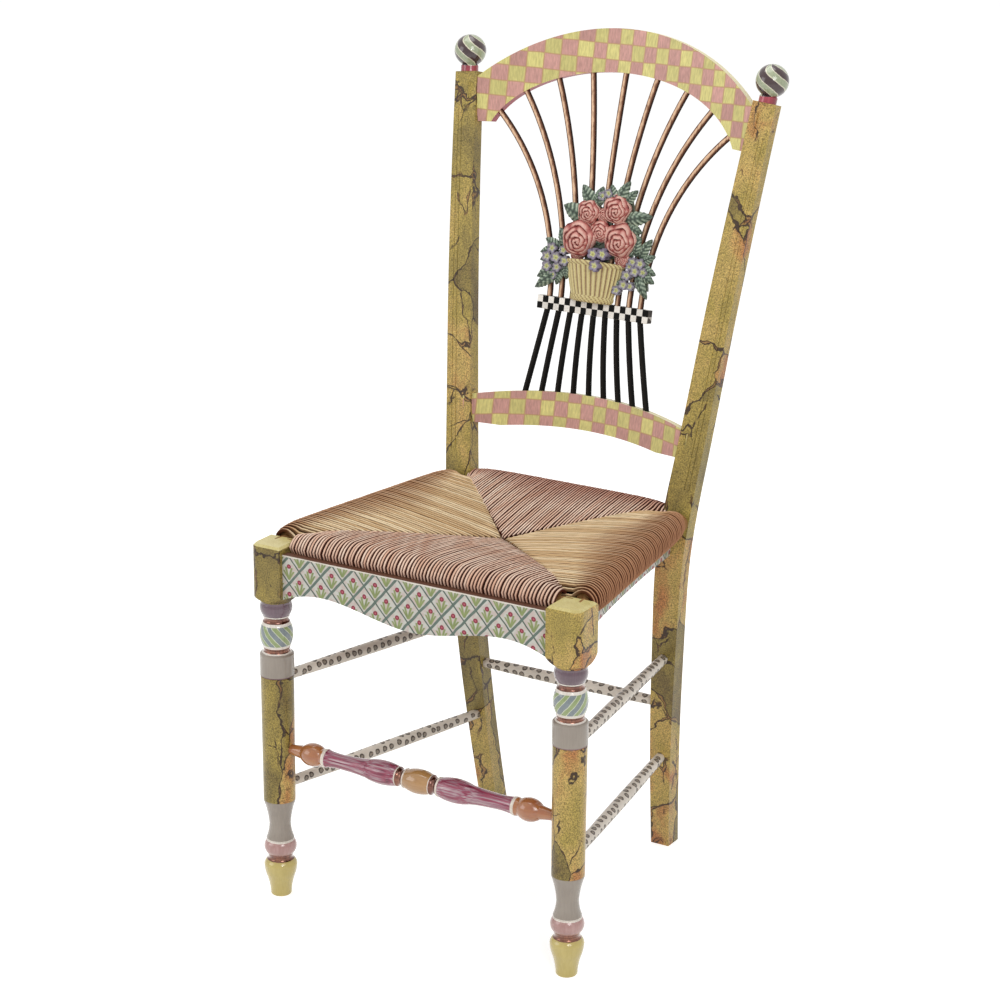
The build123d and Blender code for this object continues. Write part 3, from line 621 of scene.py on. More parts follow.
@dataclass(frozen=True)
class Spotted:
    """Off-white enamel with leopard spots: dark broken rings round a grey-brown centre."""

    start: Place
    end: Place
    ground: str = "#E4DACD"
    ring: str = "#463C33"
    centre: str = "#93877A"
    spacing: float = 12.6 * MM
    radius: float = 7.6 * MM

    def coat(self, g: Graph, point: Socket) -> Coat:
        """Unrolls the stick, so that cell points are spread along it and round it.

        The distance to the nearest cell point gives a disc, its outer part is the ring, and a noise
        breaks the ring open on one side. The left stick reads the right one's pattern.

        Args:
            g: The graph to add to.
            point: The point on the chair.

        Returns:
            The coat.
        """
        x, y, z = g.add("SeparateXYZ", (point,)).node.outputs
        right = g.add("Math", (x,), operation="ABSOLUTE")
        folded = g.add("CombineXYZ", (right if self.start[0] > 0 else x, y, z))
        offset = g.add("VectorMath", (folded, self.start), operation="SUBTRACT")
        ahead = (Vector(self.end) - Vector(self.start)).normalized()
        side = ahead.cross(Vector((0, 0, 1))).normalized()
        along, level, above = [
            g.add("VectorMath", (offset, tuple(axis)), out="Value", operation="DOT_PRODUCT")
            for axis in (ahead, side, side.cross(ahead))
        ]
        # The seam of the unrolled surface runs along the underside.
        angle = g.add("Math", (level, above), operation="ARCTAN2")
        around = g.add("Math", (angle, self.radius), operation="MULTIPLY")
        unrolled = g.wavering(g.add("CombineXYZ", (along, around, 0.0)), 4 * MM, 1.0 * MM)
        cells = {"Vector": unrolled, "Scale": 1 / self.spacing, "Randomness": 0.42}
        far = g.add("TexVoronoi", cells, voronoi_dimensions="2D")
        inside = g.add("MapRange", (far, 0.29, 0.34, 1.0, 0.0), **SMOOTH)
        ring = g.add("MapRange", (far, 0.15, 0.20, 0.0, 1.0), **SMOOTH)
        gaps = g.varied(unrolled, 4 * MM)
        gaps = g.add("MapRange", (gaps, 0.38, 0.46, 0.0, 1.0), **SMOOTH)
        ring = g.add("Math", (ring, gaps), operation="MULTIPLY")
        clouds = g.varied(point, 20 * MM, Detail=3.0)
        ground = g.shaded(self.ground, clouds, 0.84, 1.14)
        spot = g.add("Mix", {0: ring, 6: self.centre, 7: self.ring}, **COLOUR)
        return Coat(g.add("Mix", {0: inside, 6: ground, 7: spot}, **COLOUR), clouds)


@dataclass(frozen=True)
class Streaked:
    """Enamel dragged along a turning while wet: lengthwise streaks of several tints."""

    tints: tuple[str, str, str, str]
    width: float = 3.5 * MM

    def coat(self, g: Graph, point: Socket) -> Coat:
        """Noise drawn out along the stick picks the tint from a colour band.

        Args:
            g: The graph to add to.
            point: The point on the chair.

        Returns:
            The coat.
        """
        streaks = g.varied(point, self.width, x=0.02, Detail=2.0, Roughness=0.6)
        stops = tuple(zip((0.34, 0.46, 0.54, 0.64), self.tints))
        return Coat(g.add("ValToRGB", (streaks,), ramp=stops), streaks, shine=0.6)


@dataclass(frozen=True)
class Trellis:
    """Garden trellis brushed in green on pale grey enamel, with a budding sprig in every diamond."""

    ground: str = "#CBCAC1"
    blush: str = "#C8B5AE"
    laths: tuple[tuple[float, str], ...] = ((1.9 * MM, "#3A5045"), (3.2 * MM, "#56695F"))
    leaf: str = "#818C58"
    bud: str = "#842338"
    heart: str = "#B65A66"
    rim: str = "#E6DED2"
    # Painted shadow that the rush casts on the apron's top face.
    rush_shadow: str = "#5C3A2A"
    width: float = 30.2 * MM
    height: float = 34.0 * MM
    start: tuple[float, float] = (10.5 * MM, 412.5 * MM)
    top: float = 446.5 * MM
    rim_width: float = 1.6 * MM
    # Slope, half width and top of each pair of leaves: one spread wide, one upright.
    blades: tuple[Place, ...] = ((0.62, 1.2 * MM, -1 * MM), (0.27, 1.3 * MM, 3 * MM))
    # How far the sprig's foot lies below the diamond's middle, and its bud above it.
    sprig_foot: float = 12.0 * MM
    bud_height: float = 4.0 * MM
    bud_radius: float = 3.0 * MM
    heart_radius: float = 1.3 * MM

    def coat(self, g: Graph, point: Socket) -> Coat:
        """Grey ground, a sprig per diamond, two families of laths, a pale rim and brown painted
        shadow on top.

        Args:
            g: The graph to add to.
            point: The point on the chair.

        Returns:
            The coat.
        """
        moved = g.wavering(point, 18 * MM, 1.2 * MM)
        normal = g.add("NewGeometry", out="Normal")
        halves = self.diamond(g, moved, normal)
        tone = g.varied(point, 6 * MM, Detail=3.0)
        blush = g.add("MapRange", (tone, 0.42, 0.62, 0.0, 0.8), **SMOOTH)
        colour = g.add("Mix", {0: blush, 6: self.ground, 7: self.blush}, **COLOUR)
        colour = self.with_sprig(g, colour, halves, tone)
        colour = self.with_laths(g, colour, halves, tone)
        height = g.add("SeparateXYZ", (moved,)).node.outputs[2]
        rim = g.add("Math", (height, self.top - self.rim_width), operation="GREATER_THAN")
        colour = g.add("Mix", {0: rim, 6: colour, 7: self.rim}, **COLOUR)
        # The top face under the rush faces up and takes the painted shadow in dark brown.
        level = g.add("SeparateXYZ", (normal,)).node.outputs[2]
        level = g.add("Math", (level, 0.7), operation="GREATER_THAN")
        return Coat(g.add("Mix", {0: level, 6: colour, 7: self.rush_shadow}, **COLOUR), tone)

    def diamond(self, g: Graph, point: Socket, normal: Socket) -> list[Socket]:
        """Where a point lies between the slanting lines.

        With s = across / width + up / height and t = across / width - up / height, lines run where
        s or t is whole. Depth stands in for the distance across on boards that face sideways.

        Args:
            g: The graph to add to.
            point: The point on the chair.
            normal: The surface's direction there.

        Returns:
            The fractions of s and of t, less one half.
        """
        x, y, z = g.add("SeparateXYZ", (point,)).node.outputs
        sideways = g.add("Math", (g.add("SeparateXYZ", (normal,)),), operation="ABSOLUTE")
        sideways = g.add("Math", (sideways, 0.7), operation="GREATER_THAN")
        run = g.add("Mix", {0: sideways, 2: x, 3: y})
        column = g.add("Math", (run, self.start[0]), operation="SUBTRACT")
        column = g.add("Math", (column, self.width), operation="DIVIDE")
        row = g.add("Math", (z, self.start[1]), operation="SUBTRACT")
        row = g.add("Math", (row, self.height), operation="DIVIDE")
        halves = []
        for sign in ("ADD", "SUBTRACT"):
            slant = g.add("Math", (g.add("Math", (column, row), operation=sign),), operation="FRACT")
            halves.append(g.add("Math", (slant, 0.5), operation="SUBTRACT"))
        return halves

    def with_sprig(self, g: Graph, colour: Socket, halves: list[Socket], tone: Socket) -> Socket:
        """Paints a sprig in the diamond: a tuft of four leaves and a round bud with a pale heart.

        The sum and the difference of the halves give the distances across and up from the diamond's
        middle. A leaf is a straight band that leans out from the foot of the sprig on either side.

        Args:
            g: The graph to add to.
            colour: Colour of the ground.
            halves: Place between the slanting lines.
            tone: Random value that makes the green uneven.

        Returns:
            The colour with the sprig.
        """
        across = g.add("Math", halves, operation="ADD")
        across = g.add("Math", (across, self.width / 2), operation="MULTIPLY")
        up = g.add("Math", halves, operation="SUBTRACT")
        up = g.add("Math", (up, self.height / 2), operation="MULTIPLY")
        off = g.add("Math", (across,), operation="ABSOLUTE")
        rise = g.add("Math", (up, self.sprig_foot), operation="ADD")
        for slope, half, top in self.blades:
            middle = g.add("Math", (rise, -slope, off), operation="MULTIPLY_ADD")
            middle = g.add("Math", (middle,), operation="ABSOLUTE")
            blade = g.add("MapRange", (middle, half * 0.6, half * 1.5, 1.0, 0.0), **SMOOTH)
            for place, kind in ((-self.sprig_foot, "GREATER_THAN"), (top, "LESS_THAN")):
                within = g.add("Math", (up, place), operation=kind)
                blade = g.add("Math", (blade, within), operation="MULTIPLY")
            green = g.shaded(self.leaf, tone, 0.7, 1.5)
            colour = g.add("Mix", {0: blade, 6: colour, 7: green}, **COLOUR)
        place = g.add("CombineXYZ", (across, up, 0.0))
        centre = (0.0, self.bud_height, 0.0)
        far = g.add("VectorMath", (place, centre), out="Value", operation="DISTANCE")
        for radius, tint in ((self.bud_radius, self.bud), (self.heart_radius, self.heart)):
            dot = g.add("MapRange", (far, radius - 0.4 * MM, radius + 0.3 * MM, 1.0, 0.0), **SMOOTH)
            colour = g.add("Mix", {0: dot, 6: colour, 7: tint}, **COLOUR)
        return colour

    def with_laths(self, g: Graph, colour: Socket, halves: list[Socket], tone: Socket) -> Socket:
        """Paints the two families of slanting laths, one thin and one broader.

        Args:
            g: The graph to add to.
            colour: Colour under the laths.
            halves: Place between the slanting lines.
            tone: Random value that makes the green uneven.

        Returns:
            The colour with the laths.
        """
        # Distance between two neighbouring lines of one family.
        gap = self.width * self.height / math.hypot(self.width, self.height)
        for place, (width, tint) in zip(halves, self.laths):
            near = g.add("Math", (place,), operation="ABSOLUTE")
            limit = 0.5 - width / 2 / gap
            lath = g.add("MapRange", (near, limit - 0.01, limit + 0.012, 0.0, 0.95), **SMOOTH)
            green = g.shaded(tint, tone, 0.6, 1.45)
            colour = g.add("Mix", {0: lath, 6: colour, 7: green}, **COLOUR)
        return colour


@dataclass(frozen=True)
class PaintedLightRod:
    """Bronze or black enamel; painted shade on a rod's sides, painted highlight on its front and
    back.
    """

    # Painted shade on the rod's sides, the tint between, and a painted highlight at front and back.
    sides: str
    body: str
    painted_highlight: str
    metal: float = 0.0

    def coat(self, g: Graph, point: Socket) -> Coat:
        """Painted light: the nearer the surface comes to facing along the back's depth, the brighter
        it is.

        Args:
            g: The graph to add to.
            point: The point on the chair.

        Returns:
            The coat.
        """
        normal = g.add("NewGeometry", out="Normal")
        out = g.add("VectorMath", (normal, BACK_OUT), out="Value", operation="DOT_PRODUCT")
        out = g.add("Math", (out,), operation="ABSOLUTE")
        streak = g.varied(point, 2.5 * MM, z=0.05, Detail=2.0)
        share = g.add("Math", (streak, 0.35, -0.175), operation="MULTIPLY_ADD")
        share = g.add("Math", (share, out), operation="ADD")
        stops = ((0.42, self.sides), (0.86, self.body), (0.99, self.painted_highlight))
        return Coat(g.add("ValToRGB", (share,), ramp=stops), None, self.metal)


class Along(Enum):
    """What a banded stick measures its paints by."""

    HEIGHT = "height"
    FROM_MIDDLE = "distance from the middle"
    UP_BACK = "distance up the back"


@dataclass(frozen=True)
class Banded:
    """Paints that follow one another along a stick, their edges cut in by hand.

    Each band is the place where it begins, in millimetres, and its paint.
    """

    along: Along
    bands: tuple[tuple[float, Paint], ...]

    def coat(self, g: Graph, point: Socket) -> Coat:
        """Lays each paint over the one before, from its start onwards.

        Args:
            g: The graph to add to.
            point: The point on the chair.

        Returns:
            The coat.
        """
        moved = g.wavering(point, 12 * MM, 0.35 * MM)
        if self.along is Along.UP_BACK:
            place = back_plane(g, moved)[1]
        else:
            x, _, z = g.add("SeparateXYZ", (moved,)).node.outputs
            place = z if self.along is Along.HEIGHT else g.add("Math", (x,), operation="ABSOLUTE")
        coats: dict[Paint, Coat] = {}
        for _, paint in self.bands:
            if paint not in coats:
                coats[paint] = paint.coat(g, point)
        first = coats[self.bands[0][1]]
        colour, metal, shine = first.colour, first.metal, first.shine
        for start, paint in self.bands[1:]:
            over = g.add("Math", (place, start * MM), operation="GREATER_THAN")
            colour = g.add("Mix", {0: over, 6: colour, 7: coats[paint].colour}, **COLOUR)
            metal = g.add("Mix", {0: over, 2: metal, 3: coats[paint].metal})
            shine = g.add("Mix", {0: over, 2: shine, 3: coats[paint].shine})
        return Coat(colour, None, metal, shine)


@dataclass(frozen=True)
class Rush:
    """Twisted paper rush: pale strands, deep brown painted shade between, redder where it bends over
    a rail.
    """

    strand: str
    second: str
    # The gap colours, on the flat and on the roll, are painted shade between the cords.
    gap: str
    edge: str
    roll_gap_shade: str
    depth: float
    hollow: tuple[float, float]
    rolled_hollow: tuple[float, float] = (0.66, 0.97)

    def coat(self, g: Graph, point: Socket) -> Coat:
        """Reads the cord's height round its section, its tone and its bend from attributes.

        The gap colour, painted shade, fills each cord's section below the hollow's two heights. On
        the flat of a field it is weakened by depth, and on the roll it is full and reaches higher.

        Args:
            g: The graph to add to.
            point: The point on the chair; not used.

        Returns:
            The coat.
        """
        crest, tone, bend = [
            g.add("Attribute", out="Fac", attribute_name=name) for name in ("crest", "tone", "bend")
        ]
        run = g.add("UVMap", uv_map="cord")
        fibres = g.varied(run, 1.6 * MM, x=0.06, Detail=3.0)
        share = g.add("Math", (fibres, tone), operation="ADD")
        share = g.add("MapRange", (share, 0.75, 1.25, 0.0, 1.0), **SMOOTH)
        colour = g.add("Mix", {0: share, 6: self.strand, 7: self.second}, **COLOUR)
        colour = g.add("Mix", {0: bend, 6: colour, 7: self.edge}, **COLOUR)
        gap = g.add("Mix", {0: bend, 6: self.gap, 7: self.roll_gap_shade}, **COLOUR)
        low, high = [
            g.add("MapRange", (bend, 0.0, 0.6, flat, rolled))
            for flat, rolled in zip(self.hollow, self.rolled_hollow)
        ]
        # Painted shade: the gap colour darkens the cords' sides, down between them.
        gap_shade = g.add("MapRange", (crest, low, high, 1.0, 0.0), **SMOOTH)
        full = g.add("MapRange", (bend, 0.0, 0.6, self.depth, 1.0))
        gap_shade = g.add("Math", (gap_shade, full), operation="MULTIPLY")
        worn = g.varied(run, 6 * MM, x=0.4, Detail=4.0, Roughness=0.7)
        colour = g.shaded(colour, worn, 0.68, 1.30)
        return Coat(g.add("Mix", {0: gap_shade, 6: colour, 7: gap}, **COLOUR), fibres)


@dataclass(frozen=True)
class ReliefTinted:
    """Cast resin in brushed enamel, dark in the hollows and pale on the crests."""

    stops: tuple[tuple[float, str], ...]

    def coat(self, g: Graph, point: Socket) -> Coat:
        """The surface's own relief, shifted a little at random, picks the tint from hollow to crest.

        Args:
            g: The graph to add to.
            point: The point on the chair.

        Returns:
            The coat.
        """
        relief = g.add("Attribute", out="Fac", attribute_name="relief")
        random_shift = g.varied(point, 2.5 * MM, Detail=3.0)
        share = g.add("Math", (random_shift, 0.5, -0.25), operation="MULTIPLY_ADD")
        share = g.add("Math", (share, relief), operation="ADD")
        return Coat(g.add("ValToRGB", (share,), ramp=self.stops))


# ---------------------------------------------------------------------------- meshes
@dataclass
class Sheet:
    """A surface as rings of points from pole to pole, with values that go with each point."""

    points: np.ndarray
    values: dict[str, np.ndarray]

    def quads(self, start: int) -> np.ndarray:
        """Corner numbers of the faces between the rings, each ring closed on itself.

        Args:
            start: Number of the sheet's first point in its mesh.

        Returns:
            Four corner numbers for each face.
        """
        rings, around = self.points.shape[:2]
        ring, place = np.meshgrid(np.arange(rings - 1), np.arange(around), indexing="ij")
        after = (place + 1) % around
        low, high = ring * around, (ring + 1) * around
        corners = [low + place, low + after, high + after, high + place]
        return start + np.stack(corners, axis=-1).reshape(-1, 4)

    @classmethod
    def with_poles(cls, points: np.ndarray, relief: np.ndarray) -> "Sheet":
        """A sheet with relief values, whose first and last rings are drawn in to a point.

        Args:
            points: The rings.
            relief: How high each point lies between hollow and crest, zero to one.

        Returns:
            The sheet.
        """
        for end in (0, -1):
            points[end] = points[end].mean(axis=0)
        return cls(points, {"relief": relief * np.ones(points.shape[:2])})


def store(mesh: bpy.types.Mesh, key: str, sheets: list[Sheet]) -> None:
    """Puts one of the sheets' values into a mesh.

    Args:
        mesh: The mesh, its points in the order of the sheets.
        key: Name of the value. A pair of numbers becomes a UV map, a single one an attribute.
        sheets: The sheets that hold it.
    """
    data = np.concatenate([s.values[key].reshape(s.points[..., 0].size, -1) for s in sheets])
    if data.shape[1] == 2:
        corners = np.empty(len(mesh.loops), dtype=np.int32)
        mesh.loops.foreach_get("vertex_index", corners)
        mesh.uv_layers.new(name=key).data.foreach_set("uv", data[corners].ravel())
    else:
        mesh.attributes.new(key, "FLOAT", "POINT").data.foreach_set("value", data.ravel())


def make_piece(
    name: str, sheets: list[Sheet], material: bpy.types.Material, slot: str, *nodes: str
) -> bpy.types.Object:
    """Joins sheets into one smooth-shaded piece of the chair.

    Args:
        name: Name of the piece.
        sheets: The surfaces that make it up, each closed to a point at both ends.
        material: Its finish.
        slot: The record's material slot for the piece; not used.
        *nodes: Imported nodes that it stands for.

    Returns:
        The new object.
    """
    points = np.concatenate([s.points.reshape(-1, 3) for s in sheets])
    starts = np.cumsum([0] + [s.points[..., 0].size for s in sheets])
    faces = np.concatenate([s.quads(start) for s, start in zip(sheets, starts)])
    mesh = bpy.data.meshes.new(name)
    mesh.from_pydata(points.tolist(), [], faces.tolist())
    for key in sheets[0].values:
        store(mesh, key, sheets)
    # The points of each end ring are merged into one, which closes the pole.
    work = bmesh.new()
    work.from_mesh(mesh)
    bmesh.ops.remove_doubles(work, verts=work.verts, dist=1e-7)
    bmesh.ops.recalc_face_normals(work, faces=work.faces)
    work.to_mesh(mesh)
    work.free()
    mesh.polygons.foreach_set("use_smooth", np.ones(len(mesh.polygons), dtype=bool))
    mesh.materials.append(material)
    mesh.update()
    piece = bpy.data.objects.new(name, mesh)
    bpy.context.scene.collection.objects.link(piece)
    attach(piece, BODY)
    if nodes:
        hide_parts(*nodes)
    log.info("%s: %d faces", name, len(mesh.polygons))
    return piece


# ---------------------------------------------------------------------------- rush seat
class Side(Enum):
    """The four woven fields of the seat."""

    FRONT = "front"
    REAR = "rear"
    LEFT = "left"
    RIGHT = "right"

    @property
    def lengthwise(self) -> bool:
        """Whether the field's cords run from front to back."""
        return self in (Side.FRONT, Side.REAR)


@dataclass(frozen=True)
class Course:
    """Where one cord lies: its level along the rail, its rail, its mitre, and the way between.

    The depth is the cord's share of the field's full depth, and from_end is how far it lies from
    the nearer end of its rail.
    """

    level: float
    outer: float
    inner: float
    toward: float
    depth: float
    from_end: float


@dataclass
class RushSeat:
    """Seat woven in four fields of cord, each run over its rail and mitred to its neighbours."""

    front_corner: tuple[float, float] = (180.0 * MM, -213.0 * MM)
    rear_corner: tuple[float, float] = (142.0 * MM, 95.0 * MM)
    middle_y: float = -48.0 * MM
    front_rail_y: float = -219.6 * MM
    rear_rail_y: float = 109.0 * MM
    side_rail: tuple[float, float] = (203.0 * MM, 157.5 * MM)
    # Radius of the roll over a rail, and what it shrinks to beside a leg or a post, and how fast.
    roll: float = 19.3 * MM
    end_roll: float = 13.4 * MM
    end_run: float = 16.0 * MM
    # Fall of the top towards the middle of the seat, and towards every mitre.
    dip: float = 26.0 * MM
    shoulder: float = 1.5 * MM
    under: float = 424.0 * MM
    # Length of a cord past its mitre, how deep that end tucks under, and over what length.
    overlap: float = 5.0 * MM
    tuck: float = 4.5 * MM
    tuck_run: float = 6.0 * MM
    # Drop of the shortest cords, beside a leg or a post.
    corner_drop: float = 11.0 * MM
    corner_run: float = 9.0 * MM
    corner_reach: float = 14.0 * MM
    overhang: float = 5.0 * MM
    front_pitch: float = 4.45 * MM
    rear_pitch: float = 3.85 * MM
    cross_pitch: float = 4.9 * MM
    # Random push of a cord's points, stray of the whole cord to a side, and its waver.
    unevenness: float = 0.10 * MM
    stray: float = 0.25 * MM
    waver: float = 0.3 * MM
    # Share of a cord's radius by which its axis lies inside the roll, and the same as a usual depth.
    bedding: float = 0.8
    usual_bedding: float = 1.8 * MM
    # Distance of the padding from the rails, from the upper cords and from the lower ones.
    inset: float = 15.0 * MM
    below: float = 3.6 * MM
    above: float = 4.2 * MM
    seed: int = 11

    def pitch(self, side: Side) -> float:
        """Spacing of the cords of one field."""
        pitches = {Side.FRONT: self.front_pitch, Side.REAR: self.rear_pitch}
        return pitches.get(side, self.cross_pitch)

    def corner(self, side: Side) -> tuple[float, float]:
        """Where the mitres of the front or the rear field begin, on the right."""
        return self.front_corner if side is Side.FRONT else self.rear_corner

    def fall(self, depth: float | np.ndarray, run: np.ndarray) -> np.ndarray:
        """How far the seat's top lies below the roll: a power of the way from rail to mitre.

        Args:
            depth: Share of the field's full depth.
            run: Share of the way from the rail to the mitre.

        Returns:
            The distances.
        """
        return (self.dip * depth**1.25 + self.shoulder) * run**1.35

    def sag(self, depth: float | np.ndarray, run: np.ndarray) -> np.ndarray:
        """How far the seat's underside lies above the roll's, in proportion to the way in.

        Args:
            depth: Share of the field's full depth.
            run: Share of the way from the rail to the mitre.

        Returns:
            The distances, below zero where it hangs lower.
        """
        return (self.under - (RAIL_Z - self.roll)) * depth * run

    def course(self, side: Side, place: float) -> Course:
        """Where one cord lies. The mitres run from the corners straight to the seat's middle.

        Args:
            side: The field that the cord belongs to.
            place: Where it crosses its rail, minus one to one.

        Returns:
            Its course.
        """
        if side.lengthwise:
            corner = self.corner(side)
            outer = self.front_rail_y if side is Side.FRONT else self.rear_rail_y
            level = place * corner[0]
            depth = 1 - abs(place)
            inner = corner[1] + (self.middle_y - corner[1]) * depth
            from_end = (1 - abs(place)) * corner[0]
        else:
            level = np.interp(place, (-1, 1), (self.front_corner[1], self.rear_corner[1]))
            outer = np.interp(place, (-1, 1), self.side_rail)
            end = self.front_corner if level < self.middle_y else self.rear_corner
            depth = (level - end[1]) / (self.middle_y - end[1])
            inner = end[0] * (1 - depth)
            from_end = (1 - abs(place)) * self.side_rail[0]
            if side is Side.LEFT:
                outer, inner = -outer, -inner
        toward = float(np.sign(inner - outer))
        return Course(level, outer, inner + toward * self.overlap, toward, depth, from_end)

    def path(self, side: Side, course: Course) -> np.ndarray:
        """Middle line of one cord: from the mitre below, round the rail and back over the top.

        The nose is a half circle round the rail, whose radius shrinks exponentially beside a leg or
        a post. The top falls as a power of the distance, and tucks down in its last few
        millimetres as the square of what is left.

        Args:
            side: The field that the cord belongs to.
            course: Where the cord lies.

        Returns:
            Points as distance along the field and height.
        """
        narrowing = math.exp(-course.from_end / self.end_run)
        roll = self.end_roll + (self.roll - self.end_roll) * (1 - narrowing)
        roll -= self.pitch(side) / 2 * self.bedding
        turn = np.linspace(-0.5 * np.pi, -1.5 * np.pi, 13)
        nose = np.stack([course.toward * roll * np.cos(turn), roll * np.sin(turn)], axis=-1)
        if side is Side.FRONT:
            # Above the apron's top the front roll swells out over it.
            over = np.clip((nose[:, 1] + 1.5 * MM) / (4 * MM), 0, 1)
            over *= np.clip((roll - nose[:, 1]) / roll, 0, 1) ** 0.7
            nose[:, 0] -= course.toward * self.overhang * over
        nose += (course.outer, RAIL_Z)
        length = abs(course.inner - course.outer)
        run = np.linspace(0, 1, 17)[1:] ** 0.9
        top = RAIL_Z + roll - self.fall(course.depth, run)
        tucked = np.clip(1 - (1 - run) * length / self.tuck_run, 0, 1) ** 2
        # Next to a leg or a post the cord keeps close to its rail, down to the mitre.
        near = math.exp(-course.from_end / self.corner_run)
        near = near * np.clip(run * length / self.corner_reach, 0, 1) ** 2
        top -= self.tuck * tucked + self.corner_drop * near
        back = np.linspace(1, 0, 6)[:-1]
        floor = RAIL_Z - roll + self.sag(course.depth, back)
        reach = course.inner - course.outer
        floor_run = np.stack([course.outer + reach * back, floor], axis=-1)
        top_run = np.stack([course.outer + reach * run, top], axis=-1)
        return np.concatenate([floor_run, nose, top_run])

    def cord(self, side: Side, place: float, chance: np.random.Generator) -> Sheet:
        """One cord: a round section carried along its path, drawn in to a point at both ends.

        Args:
            side: The field that the cord belongs to.
            place: Where it crosses its rail, minus one to one.
            chance: Source of small unevenness.

        Returns:
            The cord's surface.
        """
        course = self.course(side, place)
        radius = self.pitch(side) / 2
        path = self.path(side, course)
        path += chance.normal(0, self.unevenness, path.shape)
        ahead = np.gradient(path, axis=0)
        ahead /= np.maximum(np.linalg.norm(ahead, axis=1, keepdims=True), 1e-9)
        normal = np.stack([-ahead[:, 1], ahead[:, 0]], axis=-1) * course.toward
        angle = np.linspace(0, 2 * np.pi, 8, endpoint=False)
        taper = np.ones(len(path))
        taper[[0, -1]] = 0.0
        taper[[1, -2]] = 0.8
        out = taper[:, None] * np.cos(angle) * radius * 0.95
        aside = taper[:, None] * np.sin(angle) * radius * chance.uniform(0.92, 1.06)
        sway = chance.normal(0, self.stray)
        sway = sway + self.waver * np.sin(path[:, 0] * 40 + chance.uniform(0, 6))
        flat = path[:, None, :] + normal[:, None, :] * out[:, :, None]
        across = course.level + sway[:, None] + aside
        order = [across, flat[..., 0]] if side.lengthwise else [flat[..., 0], across]
        points = np.stack([*order, flat[..., 1]], axis=-1)
        length = np.cumsum(np.linalg.norm(np.diff(path, axis=0, prepend=path[:1]), axis=1))
        grid = np.ones(points.shape[:2])
        return Sheet(
            points,
            {
                "crest": grid * np.cos(angle),
                "tone": grid * chance.normal(0.5, 0.06 if side.lengthwise else 0.16),
                "bend": grid * self.redness(side, len(path))[:, None],
                "cord": np.stack(
                    [grid * length[:, None] + course.level, grid * angle * radius], axis=-1
                ),
            },
        )

    def redness(self, side: Side, count: int) -> np.ndarray:
        """How red the cord is along its path: all of the roll at the sides, its foot elsewhere.

        Args:
            side: The field that the cord belongs to.
            count: Number of points of its path.

        Returns:
            Zero to one for each point.
        """
        places = np.arange(count)
        if not side.lengthwise:
            return np.interp(places, (12, 16, 23), (1.0, 0.8, 0.0))
        full, clear = (8, 13) if side is Side.FRONT else (15, 24)
        return np.interp(places, (full, clear), (0.8, 0.0))

    def stuffing(self) -> Sheet:
        """Padding packed between the upper and the lower cords, which fills the gaps between them.

        Rings run from the middle of its underside out to the rails and back over its top. Each
        point keeps a set distance under the upper cords or over the lower ones.

        Returns:
            The padding's surface.
        """
        front_y, rear_y = self.front_rail_y + self.inset, self.rear_rail_y - self.inset
        front_x, rear_x = [x - self.inset for x in self.side_rail]
        corners = np.array(
            [(-front_x, front_y), (front_x, front_y), (rear_x, rear_y), (-rear_x, rear_y)]
        )
        # The outline leaves out the corners, where the cords lie lowest.
        share = np.linspace(0.13, 0.87, 12)[:, None]
        edge = [a + (b - a) * share for a, b in zip(corners, np.roll(corners, -1, axis=0))]
        middle = np.array((0.0, self.middle_y))
        scale = np.array([0, 0.3, 0.6, 0.85, 1.0])
        scale = np.concatenate([scale, scale[::-1]])
        flat = middle + scale[:, None, None] * (np.concatenate(edge) - middle)
        depth, run = self.within(np.abs(flat[..., 0]), flat[..., 1])
        roll = self.roll - self.usual_bedding
        top = RAIL_Z + roll - self.fall(depth, run) - self.below
        floor = RAIL_Z - roll + self.sag(depth, run) + self.above
        upper = (np.arange(len(scale)) >= len(scale) // 2)[:, None]
        height = np.where(upper, top, floor)
        return Sheet(np.concatenate([flat, height[..., None]], axis=-1), {})

    def within(self, x: np.ndarray, y: np.ndarray) -> tuple[np.ndarray, np.ndarray]:
        """Which cord would pass over a point, and where along that cord the point lies.

        Args:
            x: Distances from the middle plane.
            y: Places from front to back.

        Returns:
            The cord's share of its field's full depth, and the share of its way to the mitre.
        """
        front = y < self.middle_y
        corner_x = np.where(front, self.front_corner[0], self.rear_corner[0])
        corner_y = np.where(front, self.front_corner[1], self.rear_corner[1])
        rail_y = np.where(front, self.front_rail_y, self.rear_rail_y)
        rail_x = np.interp(y, (self.front_corner[1], self.rear_corner[1]), self.side_rail)
        lengthwise, sideways = 1 - x / corner_x, (y - corner_y) / (self.middle_y - corner_y)
        long_field = sideways < lengthwise
        depth = np.clip(np.maximum(lengthwise, sideways), 0.02, 1)
        run_y = (y - rail_y) / (corner_y + (self.middle_y - corner_y) * depth - rail_y)
        run_x = (x - rail_x) / (corner_x * (1 - depth) - rail_x)
        return depth, np.clip(np.where(long_field, run_y, run_x), 0, 1)

    def build(self) -> None:
        """Makes the padding and the four fields, each of one cord after another."""
        # Machine-twisted kraft-paper cord, waxed: dull, with painted shade in brown between the
        # strands.
        pink = Rush("#FFE7D2", "#EABB9F", "#4A1E10", "#BC7A69", "#42160D", 1.0, (0.62, 0.97))
        tan = Rush("#F6DFB8", "#D2AE80", "#5A391B", "#BF8966", "#45200F", 0.85, (0.42, 0.93))
        lengthwise = Finish("twisted_paper_rush_pink", pink, DULL).material()
        crosswise = Finish("twisted_paper_rush_tan", tan, DULL).material()
